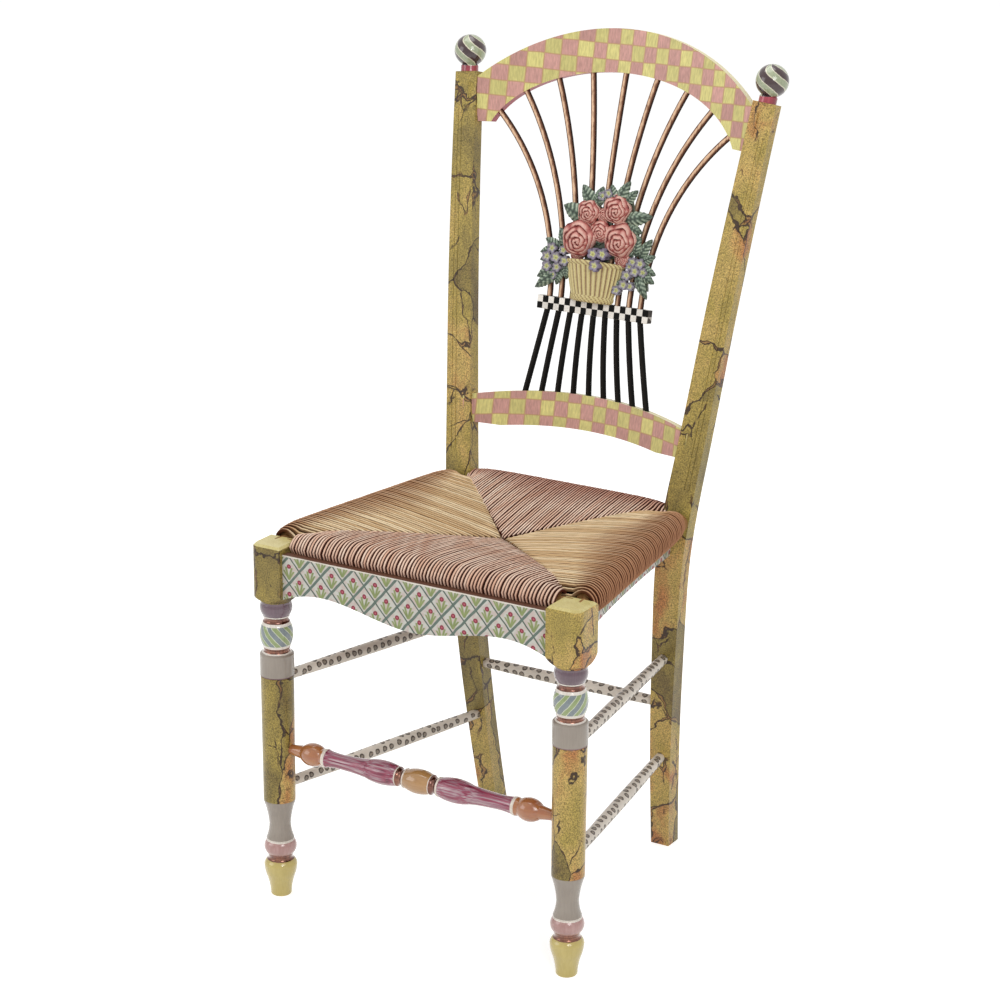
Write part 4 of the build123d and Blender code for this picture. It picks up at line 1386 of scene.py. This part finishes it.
        # Rush ends pushed in between the layers: dull and nearly black, painted shadow seen through
        # the gaps.
        ends = Streaked(("#2A150B", "#3D2012", "#4C2A17", "#5E361D"), 5 * MM)
        packed_shadow = Finish("packed_rush_ends_painted_shadow", ends, DULL).material()
        make_piece("rush_stuffing_painted_shadow", [self.stuffing()], packed_shadow, "rush", "rush_seat")
        for side in Side:
            chance = np.random.default_rng(self.seed + len(side.value))
            if side.lengthwise:
                count = int(2 * self.corner(side)[0] / self.pitch(side))
                material = lengthwise
            else:
                count = int((self.rear_corner[1] - self.front_corner[1]) / self.cross_pitch)
                material = crosswise
            places = (np.arange(count) + 0.5) / count * 2 - 1
            cords = [self.cord(side, place, chance) for place in places]
            make_piece(f"rush_{side.value}", cords, material, "rush", "rush_seat")


# ---------------------------------------------------------------------------- flower basket
def disc(rings: int, around: int) -> tuple[np.ndarray, np.ndarray]:
    """Polar grid over a round front and the flat back that closes it.

    Args:
        rings: Number of rings from the middle of the front to its edge.
        around: Number of points on a ring.

    Returns:
        Shares of the radius, which return to the edge and the middle for the back, and angles.
    """
    share = np.concatenate([np.linspace(0, 1, rings), [1.0, 0.0]])[:, None]
    return share, np.linspace(0, 2 * np.pi, around, endpoint=False)[None, :]


def on_board(across: np.ndarray, up: np.ndarray, rise: np.ndarray) -> np.ndarray:
    """Points given in millimetres across, up and out of the flower board's face."""
    return on_back(across * MM, up * MM, BOARD_FACE + rise * MM)


@dataclass
class FlowerBasket:
    """Cast flower basket on the back: fluted basket, cabbage roses, small blossoms and leaves.

    Every ornament is (across, up, ...) in millimetres on the back's plane.
    """

    # Across, up and radius.
    roses: tuple[Ornament, ...] = ((-25, 366, 23), (32, 370, 22), (-16, 400, 15.5), (23, 407, 18.5))
    rosebuds: tuple[Ornament, ...] = ((3, 378, 14), (-26, 347, 10), (37, 348, 11), (5, 398, 9))
    # Across, up, radius and lift: the last pansy hangs over the basket's rim.
    pansies: tuple[Ornament, ...] = ((2, 350, 7.5, 7), (15, 351, 7.5, 7), (9, 336, 7.5, 13))
    # Across, up and radius.
    blossoms: tuple[Ornament, ...] = (
        (-60, 350, 6.8), (-66, 339, 6.8), (-53, 339, 7.2), (-44, 349, 6), (-65, 327, 6.8),
        (-51, 327, 6.2), (-41, 336, 6.8), (-56, 317, 5.5), (53, 346, 6), (64, 345, 6.8),
        (58, 335, 6.8), (47, 329, 6.6), (49, 340, 5.2), (69, 335, 6), (44, 317, 6.4),
        (35, 309, 6.2), (53, 316, 5.6), (2, 421, 5.8), (10, 425, 5.8), (17, 419, 5.2),
    )
    # Across, up, length, turn in degrees, and width as a share of the length.
    leaves: tuple[Ornament, ...] = (
        (-9, 408, 31, 130, 0.62), (-5, 407, 26, 80, 0.66), (-19, 392, 36, 160, 0.66),
        (22, 412, 34, 66, 0.5), (20, 414, 24, 112, 0.6), (33, 414, 24, 52, 0.6),
        (33, 394, 39, 14, 0.52), (36, 390, 25, -20, 0.66), (-40, 352, 28, 122, 0.55),
        (-50, 352, 25, 160, 0.55), (-54, 349, 26, -166, 0.55), (-56, 342, 24, -158, 0.6),
        (-56, 334, 23, -146, 0.6), (-52, 328, 33, -150, 0.5), (-50, 322, 40, -143, 0.42),
        (-46, 326, 22, -106, 0.6), (-40, 333, 20, -84, 0.6), (-48, 346, 20, 52, 0.6),
        (-60, 338, 17, 110, 0.7), (50, 350, 19, 119, 0.6), (54, 352, 26, 82, 0.5),
        (60, 350, 30, 62, 0.5), (62, 346, 22, 28, 0.6), (62, 342, 24, -22, 0.6),
        (60, 336, 27, -30, 0.55), (58, 334, 36, -62, 0.42), (56, 342, 14, 150, 0.7),
        (48, 332, 18, -130, 0.6), (40, 324, 18, -115, 0.55), (-1, 408, 16, 124, 0.6),
        (9, 411, 18, 126, 0.6), (-4, 352, 15, 170, 0.6), (22, 350, 15, 20, 0.6),
        (2, 360, 18, 95, 0.6), (-42, 366, 14, 190, 0.7), (48, 376, 13, -10, 0.7),
    )
    # A rose: turns of its winding, height of its rim and of the dome on it as shares of its radius,
    # how far a petal steps and notches, and how far the bud leans, as shares too.
    petal_turns: float = 4.3
    rose_rim: float = 0.16
    rose_dome: float = 0.5
    petal_step: float = 0.30
    petal_notch: float = 0.16
    bud_aside: float = 0.10
    bud_down: float = 0.22
    blossom_petals: int = 5
    # A leaf: its teeth and pairs of veins, and in millimetres how high it stands and how thick it is.
    leaf_teeth: int = 7
    leaf_veins: int = 6
    leaf_lift: float = 2.2
    leaf_thickness: float = 0.8
    vein_height: float = 0.55
    # The basket, and its outline up the outside and down into it: share of height, share of width.
    base_width: float = 54 * MM
    rim_width: float = 78 * MM
    height: float = 52 * MM
    base_depth: float = 10 * MM
    rim_depth: float = 15.5 * MM
    clearance: float = 0.1 * MM
    flutes: int = 15
    foot_top: float = 0.17
    rim_foot: float = 0.88
    profile: tuple[tuple[float, float], ...] = (
        (0, 0), (0, 0.96), (0.02, 1.02), (0.04, 1.05), (0.08, 1.06), (0.12, 1.05), (0.15, 1.02),
        (0.17, 1), (0.2, 1), (0.3, 1), (0.4, 1), (0.5, 1), (0.6, 1), (0.7, 1), (0.8, 1), (0.86, 1),
        (0.88, 1), (0.9, 1.03), (0.93, 1.06), (0.96, 1.06), (0.98, 1.04), (1, 1), (1, 0.9),
        (0.99, 0.82), (0.9, 0.78), (0.9, 0),
    )

    def rose(self, across: float, up: float, radius: float) -> Sheet:
        """An open rose whose petals wind in to a bud that looks a little downwards.

        Over a disc of (share of radius r, angle t), the winding is petal_turns times r, less t as a
        share of a turn, plus ripples. It counts petals, and its fraction is how far a point lies
        across its petal. The height is a dome less a step that deepens towards the petal's outer
        lip, notched where petals meet round the turn. The winding's middle is moved down, and the
        dome is closed by a flat back.

        Args:
            across: Place of its middle to the right of the back's, in millimetres as all here.
            up: Place of its middle up the lean.
            radius: Its radius.

        Returns:
            Its surface.
        """
        r, t = disc(44, 72)
        ripples = 0.16 * np.sin(5 * t + up) * r + 0.09 * np.sin(3 * t + 9 * r)
        winding = self.petal_turns * r - t / (2 * np.pi) + ripples
        fold = winding % 1.0
        turn = np.floor(winding)
        notch = np.abs(np.sin(2.0 * t + 2.1 * turn + across)) ** 14 * np.clip(r * 1.6, 0, 1)
        dome = np.sqrt(np.clip(1 - (0.98 * r) ** 2.4, 0, 1))
        rise = radius * (self.rose_rim + self.rose_dome * dome)
        rise = rise * (1 - self.petal_step * fold**2) * (1 - self.petal_notch * notch)
        reach = radius * r * (1 + 0.05 * np.sin(5 * t + 1.0) * r)
        rise[-2:] = 0.0
        points = on_board(
            across + reach * np.cos(t) + self.bud_aside * radius * (1 - r**2),
            up + reach * np.sin(t) - self.bud_down * radius * (1 - r**2),
            rise,
        )
        # The back's middle doesn't lean with the bud.
        points[-1] = on_board(across, up, 0.0)
        return Sheet.with_poles(points, (1 - fold**3) * (1 - 0.6 * notch))

    def blossom(self, across: float, up: float, radius: float, lift: float = 0.0) -> Sheet:
        """A blossom: a cupped disc whose edge is scalloped into petals, with a raised eye.

        Over a disc of (share of radius r, angle t), a petal is a power of the cosine of t. The cup
        rises as a power of r and sinks between the petals, and the eye is a bell over the middle.

        Args:
            across: Place of its middle to the right of the back's, in millimetres as all here.
            up: Place of its middle up the lean.
            radius: Its radius.
            lift: How far it stands out from its place on the board.

        Returns:
            Its surface.
        """
        r, t = disc(14, 40)
        t = t + across
        lobe = np.abs(np.cos(self.blossom_petals / 2 * t)) ** 0.6
        reach = radius * r * (0.74 + 0.26 * lobe * r)
        eye = 0.25 * np.exp(-((r / 0.22) ** 2))
        cup = 0.35 + 0.35 * r**1.5 - 0.22 * (1 - lobe) * r + eye
        rise = lift + radius * (0.55 + cup)
        rise[-2:] = 0.0
        points = on_board(across + reach * np.cos(t), up + reach * np.sin(t), rise)
        return Sheet.with_poles(points, r * (0.75 + 0.25 * (1 - lobe) ** 0.5))

    def leaf(self, across: float, up: float, length: float, turn: float, width: float) -> Sheet:
        """A pointed leaf with a toothed edge, a sunken midrib and raised side veins.

        Along the blade u runs from stalk to tip and round its thin section the angle gives the
        share of the half width. The half width is a skewed sine, stepped by the teeth. The blade
        arches along its length and its sides fall away from the middle.

        Args:
            across: Place of its stalk to the right of the back's middle, in millimetres.
            up: Place of its stalk up the lean.
            length: Its length.
            turn: Direction of its tip, in degrees from the right.
            width: Its width as a share of its length.

        Returns:
            Its surface.
        """
        u = np.linspace(0, 1, 31)[:, None]
        angle = np.linspace(0, 2 * np.pi, 20, endpoint=False)[None, :]
        side, face = np.cos(angle), np.sin(angle)
        swell = np.sin(np.pi * u)
        teeth = 1 - 0.16 * ((self.leaf_teeth * u) % 1.0)
        half = 0.5 * length * width * np.sin(np.pi * u**0.8) ** 0.75 * teeth
        rib = np.exp(-((side / 0.14) ** 2))
        veins = 0.5 + 0.5 * np.cos(2 * np.pi * (self.leaf_veins * u - 1.1 * np.abs(side)))
        relief = veins * (1 - rib) * (0.4 + 0.6 * swell)
        arch = 0.13 * length * swell + self.leaf_lift - 0.10 * length * side**2
        rise = arch + self.leaf_thickness * (swell**0.5 * face)
        rise = rise + self.vein_height * relief * (face > 0)
        heading = math.radians(turn)
        run = u * length
        points = on_board(
            across + run * math.cos(heading) - half * side * math.sin(heading),
            up + run * math.sin(heading) + half * side * math.cos(heading),
            rise,
        )
        return Sheet.with_poles(points, relief)

    def basket(self) -> Sheet:
        """A flaring half-round basket: flutes above a twisted foot, and a rolled pie-crust rim.

        The plan at each level is half an ellipse closed by a straight back. The ellipse swells and
        shrinks with the cosine of the flutes, which lean a little as they rise; at the foot and the
        rim the swelling slants as the lay of a rope does. The rim droops a little to both sides.

        Returns:
            Its surface.
        """
        levels, scale = [column[:, None] for column in np.array(self.profile).T]
        front = np.linspace(-np.pi / 2, np.pi / 2, 181)
        straight = np.linspace(1, -1, 21)[1:-1]
        sin = np.concatenate([np.sin(front), straight])[None, :]
        cos = np.concatenate([np.cos(front), 0 * straight])[None, :]
        turn = np.concatenate([front, 0 * straight])[None, :]
        curved = cos > 0.05
        rope = (levels < self.foot_top) | (levels > self.rim_foot)
        lay = turn * self.flutes * 2 + np.where(rope, levels * 60, levels * 2.2)
        crest = 0.5 + 0.5 * np.cos(lay)
        swell = 1 + np.where(rope, 0.05, 0.07) * (crest - 0.5) * curved
        half = (self.base_width + (self.rim_width - self.base_width) * levels) / 2
        deep = self.base_depth + (self.rim_depth - self.base_depth) * levels
        bulge = 1 + 0.03 * np.sin(np.pi * levels)
        droop = 1 - 0.04 * (sin * scale) ** 2
        points = on_back(
            half * sin * scale * swell * bulge,
            BAR_TOP + self.clearance + self.height * levels * droop,
            BOARD_FACE + deep * cos * scale * swell * bulge,
        )
        relief = np.where(curved, crest**0.7, 0.3) * np.where(scale < 0.95, 0.4, 1.0)
        return Sheet.with_poles(points, relief)

    def tints(self) -> dict[str, ReliefTinted]:
        """The ornaments' paints, each from the tint in its hollows to the tint on its crests.

        Returns:
            The paints by the name of their ornament.
        """
        return {
            "rose": ReliefTinted(
                ((0.08, "#4A1518"), (0.34, "#9A4A46"), (0.64, "#C07A70"), (1.0, "#DDB0A2"))
            ),
            "leaf": ReliefTinted(
                ((0.05, "#2E3A2E"), (0.35, "#5F7060"), (0.65, "#83937F"), (1.0, "#BFC8B2"))
            ),
            "pansy": ReliefTinted(
                (
                    (0.1, "#B7B56A"), (0.42, "#CFCE96"), (0.5, "#9A92A0"), (0.85, "#6E6079"),
                    (1.0, "#2E262F"),
                )
            ),
            "blossom": ReliefTinted(
                (
                    (0.1, "#ADAD66"), (0.42, "#C6C892"), (0.5, "#A29DA4"), (0.85, "#776F80"),
                    (1.0, "#2F2C30"),
                )
            ),
            "basket": ReliefTinted(
                ((0.0, "#7E5F48"), (0.28, "#A88E66"), (0.55, "#C9B87C"), (1.0, "#DCCD98"))
            ),
        }

    def build(self) -> None:
        """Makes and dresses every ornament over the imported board."""
        # Enamel on cast resin: soft tints on the crests, umber in every fold.
        resin = {
            name: Finish(f"relief_tinted_resin_{name}", paint, SATIN).material()
            for name, paint in self.tints().items()
        }
        for index, place in enumerate(self.roses):
            name = f"rose_{index + 1}"
            make_piece(f"{name}_petals", [self.rose(*place)], resin["rose"], "rose_paint", name)
        buds = [self.rose(*place) for place in self.rosebuds]
        make_piece("rosebuds", buds, resin["rose"], "rose_paint")
        leaves = [self.leaf(*place) for place in self.leaves]
        nodes = [f"leaf_{index}" for index in range(1, 10)]
        make_piece("leaf_sprays", leaves, resin["leaf"], "leaf_paint", *nodes)
        pansies = [self.blossom(*place) for place in self.pansies]
        nodes = [f"blossom_{index}" for index in range(1, 4)]
        make_piece("pansies", pansies, resin["pansy"], "blossom_paint", *nodes)
        blossoms = [self.blossom(*place) for place in self.blossoms]
        make_piece("small_blossoms", blossoms, resin["blossom"], "blossom_paint", "blossom_4")
        make_piece("fluted_basket", [self.basket()], resin["basket"], "basket_paint", "basket")
        # Grey-green enamel on the sawn board behind: soft brush strokes, dark enough to recede.
        board = Finish("brushed_enamel_board", Brushed("#59624F", "#3F4739"), SATIN)
        board.dress("flower_board")


# ---------------------------------------------------------------------------- painted wood
@dataclass
class FrontLegs:
    """Turned front legs: each turned member has its own paint, parted by thin white lines."""

    # Heights in millimetres: where each member begins, and the middle of the ball.
    foot: float = 47.0
    torus: float = 55.5
    waist: float = 75.0
    column: float = 126.0
    cuff: float = 288.5
    ball: float = 340.0
    block: float = 382.0
    block_top: float = 452.3

    def paint(self) -> Banded:
        """The paints from the foot to the block, each by the height where it begins.

        Returns:
            The banded paint.
        """
        copper = Brushed("#5E3326", "#80503B", metal=0.9, shine=0.9)
        grey = Brushed("#9F9488", "#988D82", shine=0.45)
        white = Brushed("#EFE8DE", "#DFD5C9", shine=0.6)
        plum = Brushed("#6A4F5C", "#5C4350", shine=1.0)
        marble = Marbled()
        centre = (LEG_X, FRONT_Y, self.ball * MM)
        ball = Swirled(centre, "#7E888C", "#93A36C", "#D3D8BF", 8, -1.1, mirrored=True)
        bands = (
            (0.0, Brushed("#CDBA6F", "#C6B267", shine=0.7)),
            (self.foot, copper),
            (self.torus, Brushed("#BF9893", "#B08680", shine=0.7)),
            (self.torus + 16.5, white),
            (self.waist, grey),
            (self.column, marble),
            (self.cuff - 1.5, Brushed("#8A6C70", "#6F5459")),
            (self.cuff, grey),
            (self.cuff + 28.0, white),
            (self.cuff + 29.5, copper),
            (self.ball - 16.0, white),
            (self.ball - 12.5, ball),
            (self.ball + 12.0, white),
            (self.ball + 15.5, copper),
            (self.ball + 22.5, white),
            (self.ball + 24.0, plum),
            (self.block, marble),
            (self.block_top, Brushed("#D6C98C", "#C4B474")),
        )
        return Banded(Along.HEIGHT, bands)

    def dress(self) -> None:
        """Paints both legs."""
        # Enamels and glazes, the turnings varnished: small sharp glints there, none on the marbling.
        Finish("glazed_enamel_leg", self.paint(), SHINY).dress(*[f"front_leg_{s}" for s in SIDES])


@dataclass
class RearPosts:
    """Rear posts in marbled glaze, with a striped ball on a crimson collar on each."""

    # Middle of the right ball and height of its collar's top, in millimetres.
    ball: Place = (209.1, 213.4, 974.0)
    collar_top: float = 957.0

    def dress(self) -> None:
        """Paints the posts and their balls."""
        # Sponged glazes under satin varnish: grainy and cloudy, the veins lying in the surface.
        Finish("sponged_glaze_post", Marbled(), SATIN).dress(*[f"rear_post_{s}" for s in SIDES])
        centre = tuple(value * MM for value in self.ball)
        stripes = Swirled(centre, "#3E2629", "#A3AC8C", "#DDD8BE", 4, 0.9, shade=0.62)
        collar = Brushed("#B43A4C", "#8E2A3A", shine=0.8)
        bands = ((0.0, collar), (self.collar_top, stripes))
        # Gloss enamel on a turned ball: deep stripes with a sharp glint.
        Finish("gloss_enamel_ball", Banded(Along.HEIGHT, bands), SHINY).dress(
            *[f"finial_{s}" for s in SIDES]
        )


@dataclass
class Back:
    """Checked rails, the black and white tie bar and the sheaf of bronze and black rods."""

    crest: Checks = Checks(21.5, 17.3, -45.0, 19.3, 586.2, shift=1)
    lower: Checks = Checks(20.45, 18.1, -60.8, 19.5, 142.0, arch=0.0005)
    bar: Checks = Checks(7.8, 7.8, 0.0, 8.25, BAR_LOW / MM)
    # How far from the middle the crest's painted tongue begins, in millimetres, and how much
    # further that is with each step up.
    tongue: tuple[float, float] = (133.4, 0.105)

    def dress(self) -> None:
        """Paints the rails, the bar and the rods."""
        rose, lime, line = "#CC9A90", "#D8CE84", "#B98F66"
        edges = ("#E2D8AE", "#A94A55")
        for node, checks, tongue in (
            ("crest_rail", self.crest, self.tongue),
            ("lower_back_rail", self.lower, None),
        ):
            squares = Checked(lime, rose, line, checks, edges=edges, tongue=tongue)
            # Checks in two enamels, each square filled by an almost dry brush: dragged and streaky.
            Finish(f"dry_brushed_checks_{node}", squares, SATIN).dress(node)
        bar = Checked("#060504", "#F6F1E9", "#6A6058", self.bar, 0.0, 0.3 * MM, (0.9, 1.1))
        # Black and white enamel without varnish: clean flat squares that mirror nothing.
        Finish("flat_enamel_bar", bar, FLAT).dress("tie_bar")
        rods = Banded(
            Along.UP_BACK,
            (
                (0.0, PaintedLightRod("#050403", "#0A0807", "#1C1814")),
                (BAR_LOW / MM, PaintedLightRod("#26140D", "#77503D", "#DDB999", metal=0.3)),
            ),
        )
        # Bronze enamel with painted shade and highlight on each rod; below the bar the same in black
        # gloss.
        Finish("enamel_rods_painted_light", rods, FLAT).dress(*[f"spindle_{i}" for i in range(1, 10)])


@dataclass
class SeatFrame:
    """Aprons with their painted trellis, and the hidden round rails under the rush."""

    side_top: float = 424.0 * MM

    def dress(self) -> None:
        """Paints the aprons and leaves the rails bare."""
        # Thin colours brushed over pale grey enamel: soft-edged strokes, a little raised.
        Finish("brushed_enamel_trellis", Trellis(), SATIN).dress("apron_front")
        side = Trellis(start=(0.0, self.side_top), top=self.side_top)
        Finish("brushed_enamel_trellis_side", side, SATIN).dress(*[f"apron_side_{s}" for s in SIDES])
        # Turned beech without a finish: straight pale grain.
        bare = Finish("bare_turned_beech", Brushed("#A0774C", "#7E5630"), DULL)
        bare.dress("seat_rail_front", "seat_rail_rear", *[f"seat_rail_side_{s}" for s in SIDES])


@dataclass
class Stretchers:
    """Turned front stretcher in amber and magenta, and five plain ones with leopard spots."""

    # Ends of the right side stretchers' axes, front and rear, and of the rear one's, in millimetres.
    sides: tuple[tuple[str, Place, Place], ...] = (
        ("lower", (200.6, -225.0, 142.3), (132.6, 124.0, 128.4)),
        ("upper", (200.6, -225.0, 281.8), (140.7, 110.0, 266.3)),
    )
    rear: Place = (130.0, 117.3, 202.0)
    magenta_tints: tuple[str, ...] = ("#64203A", "#9E3F58", "#9A6B7B", "#BDA0A4")

    def dress(self) -> None:
        """Paints all of them."""
        amber = Brushed("#B98C57", "#AD7F4B", stroke=(0.1, 1, 1), shine=1.0)
        white = Brushed("#EFE6DA", "#DDCFC0", stroke=(0.1, 1, 1), shine=0.6)
        magenta = Streaked(self.magenta_tints, 2.4 * MM)
        copper = Brushed("#5E3326", "#80503B", stroke=(0.1, 1, 1), metal=0.9, shine=0.9)
        ends = Brushed("#A5623C", "#B67848", stroke=(0.1, 1, 1), width=8 * MM, shine=1.0)
        # Where each begins, from the middle out.
        bands = (
            (0.0, amber), (17.0, white), (18.5, copper), (28.0, white), (30.0, magenta),
            (129.5, white), (133.5, ends),
        )
        # Enamels dragged lengthwise while wet and then varnished: streaks under a soft gloss.
        Finish("dragged_enamel_stretcher", Banded(Along.FROM_MIDDLE, bands), SHINY).dress(
            "stretcher_front"
        )
        for name, front, rear in self.sides:
            start, end = [tuple(value * MM for value in place) for place in (front, rear)]
            nodes = [f"stretcher_{name}_{s}" for s in SIDES]
            # Spots dabbed on off-white enamel: blunt soft marks under satin varnish.
            Finish(f"dabbed_enamel_{name}", Spotted(start, end), SATIN).dress(*nodes)
        x, y, z = [value * MM for value in self.rear]
        rear = Spotted((-x, y, z), (x, y, z))
        Finish("dabbed_enamel_rear", rear, SATIN).dress("stretcher_rear")


# ---------------------------------------------------------------------------- studio
@dataclass
class Studio:
    """Pale floor, soft lamps, white surroundings and the camera."""

    glow: float = 0.46
    floor_glow: float = 0.6
    floor_reach: float = 12.0
    # Name, place, width and power.
    lamps: tuple[tuple[str, Place, float, float], ...] = (
        ("key", (2.4, -2.2, 2.6), 1.4, 38.0),
        ("fill", (-2.4, -2.6, 1.6), 1.8, 22.0),
        ("top", (-0.4, 0.2, 3.0), 1.8, 26.0),
        ("spark", (2.2, -2.6, 2.0), 0.25, 5.0),
    )
    lit: Place = (0, 0, 0.5)
    eye: Place = (1.6410, -2.5584 + FRONT_Y, 1.5254)
    look: Place = (-0.48915, 0.81595, -0.30814)
    roll: float = 0.007
    lens: float = 101.43

    def seen(self, g: Graph) -> Socket:
        """One for a ray that shows the background, straight, mirrored or through glass; else zero.

        Args:
            g: The graph to add to.

        Returns:
            The socket.
        """
        shows, *others = [
            g.add("LightPath", out=f"Is {kind} Ray") for kind in ("Camera", "Glossy", "Transmission")
        ]
        for other in others:
            shows = g.add("Math", (shows, other), operation="MAXIMUM")
        return shows

    def floor(self) -> None:
        """A wide floor, white wherever it is seen but for the chair's soft shadow."""
        g = Graph(bpy.data.materials.new("matt_white_floor"))
        inputs = {"Base Color": "#F4F4F2", "Roughness": 0.9, "Specular IOR Level": 0.1}
        shade = g.add("BsdfPrincipled", inputs)
        seen = g.add("Math", (self.seen(g), self.floor_glow), operation="MULTIPLY")
        glow = g.add("Emission", ("#FFFFFF", seen))
        g.add("OutputMaterial", (g.add("AddShader", (shade, glow)),))
        mesh = bpy.data.meshes.new("floor")
        far = self.floor_reach
        corners = [(-far, -far, 0), (far, -far, 0), (far, far, 0), (-far, far, 0)]
        mesh.from_pydata(corners, [], [(0, 1, 2, 3)])
        mesh.materials.append(g.owner)
        floor = bpy.data.objects.new("floor", mesh)
        bpy.context.scene.collection.objects.link(floor)

    def lamp(self, name: str, place: Place, size: float, power: float) -> None:
        """One square soft lamp turned to the middle of the chair.

        Args:
            name: Its name.
            place: Where it hangs.
            size: Its width.
            power: Its power in watts.
        """
        light = bpy.data.lights.new(name, "AREA")
        light.size = size
        light.energy = power
        lamp = bpy.data.objects.new(name, light)
        lamp.location = place
        towards = Vector(self.lit) - Vector(place)
        lamp.rotation_euler = towards.to_track_quat("-Z", "Y").to_euler()
        bpy.context.scene.collection.objects.link(lamp)

    def camera(self) -> None:
        """Camera at standing height, to the right of the chair's front, looking down a little."""
        data = bpy.data.cameras.new("camera")
        data.sensor_width = 36.0
        data.lens = self.lens
        camera = bpy.data.objects.new("camera", data)
        ahead = Vector(self.look).normalized()
        right = ahead.cross(Vector((0, 0, 1))).normalized()
        above = right.cross(ahead)
        level = right * math.cos(self.roll) + above * math.sin(self.roll)
        upright = above * math.cos(self.roll) - right * math.sin(self.roll)
        turn = Matrix((level, upright, -ahead)).transposed()
        camera.matrix_world = Matrix.Translation(self.eye) @ turn.to_4x4()
        bpy.context.scene.collection.objects.link(camera)
        bpy.context.scene.camera = camera

    def surroundings(self) -> None:
        """White behind the chair, in what it mirrors too, and softer as a light."""
        world = bpy.data.worlds.new("studio")
        bpy.context.scene.world = world
        g = Graph(world)
        light = g.add("Background", ("#FFFFFF", self.glow))
        behind = g.add("Background", ("#FFFFFF", 1.0))
        g.add("OutputWorld", (g.add("MixShader", (self.seen(g), light, behind)),))

    def build(self) -> None:
        """Sets up camera, floor, surroundings and lamps."""
        self.camera()
        self.floor()
        self.surroundings()
        for lamp in self.lamps:
            self.lamp(*lamp)
        bpy.context.scene.view_settings.view_transform = "Standard"


def main() -> None:
    """Dresses the chair, makes its woven and cast pieces, and sets up the studio."""
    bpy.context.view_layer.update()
    for assembly in (FrontLegs(), RearPosts(), Back(), SeatFrame(), Stretchers()):
        log.info("Painting: %s", type(assembly).__name__)
        assembly.dress()
    for assembly in (RushSeat(), FlowerBasket(), Studio()):
        log.info("Building: %s", type(assembly).__name__)
        assembly.build()


if __name__ == "__main__":
    main()
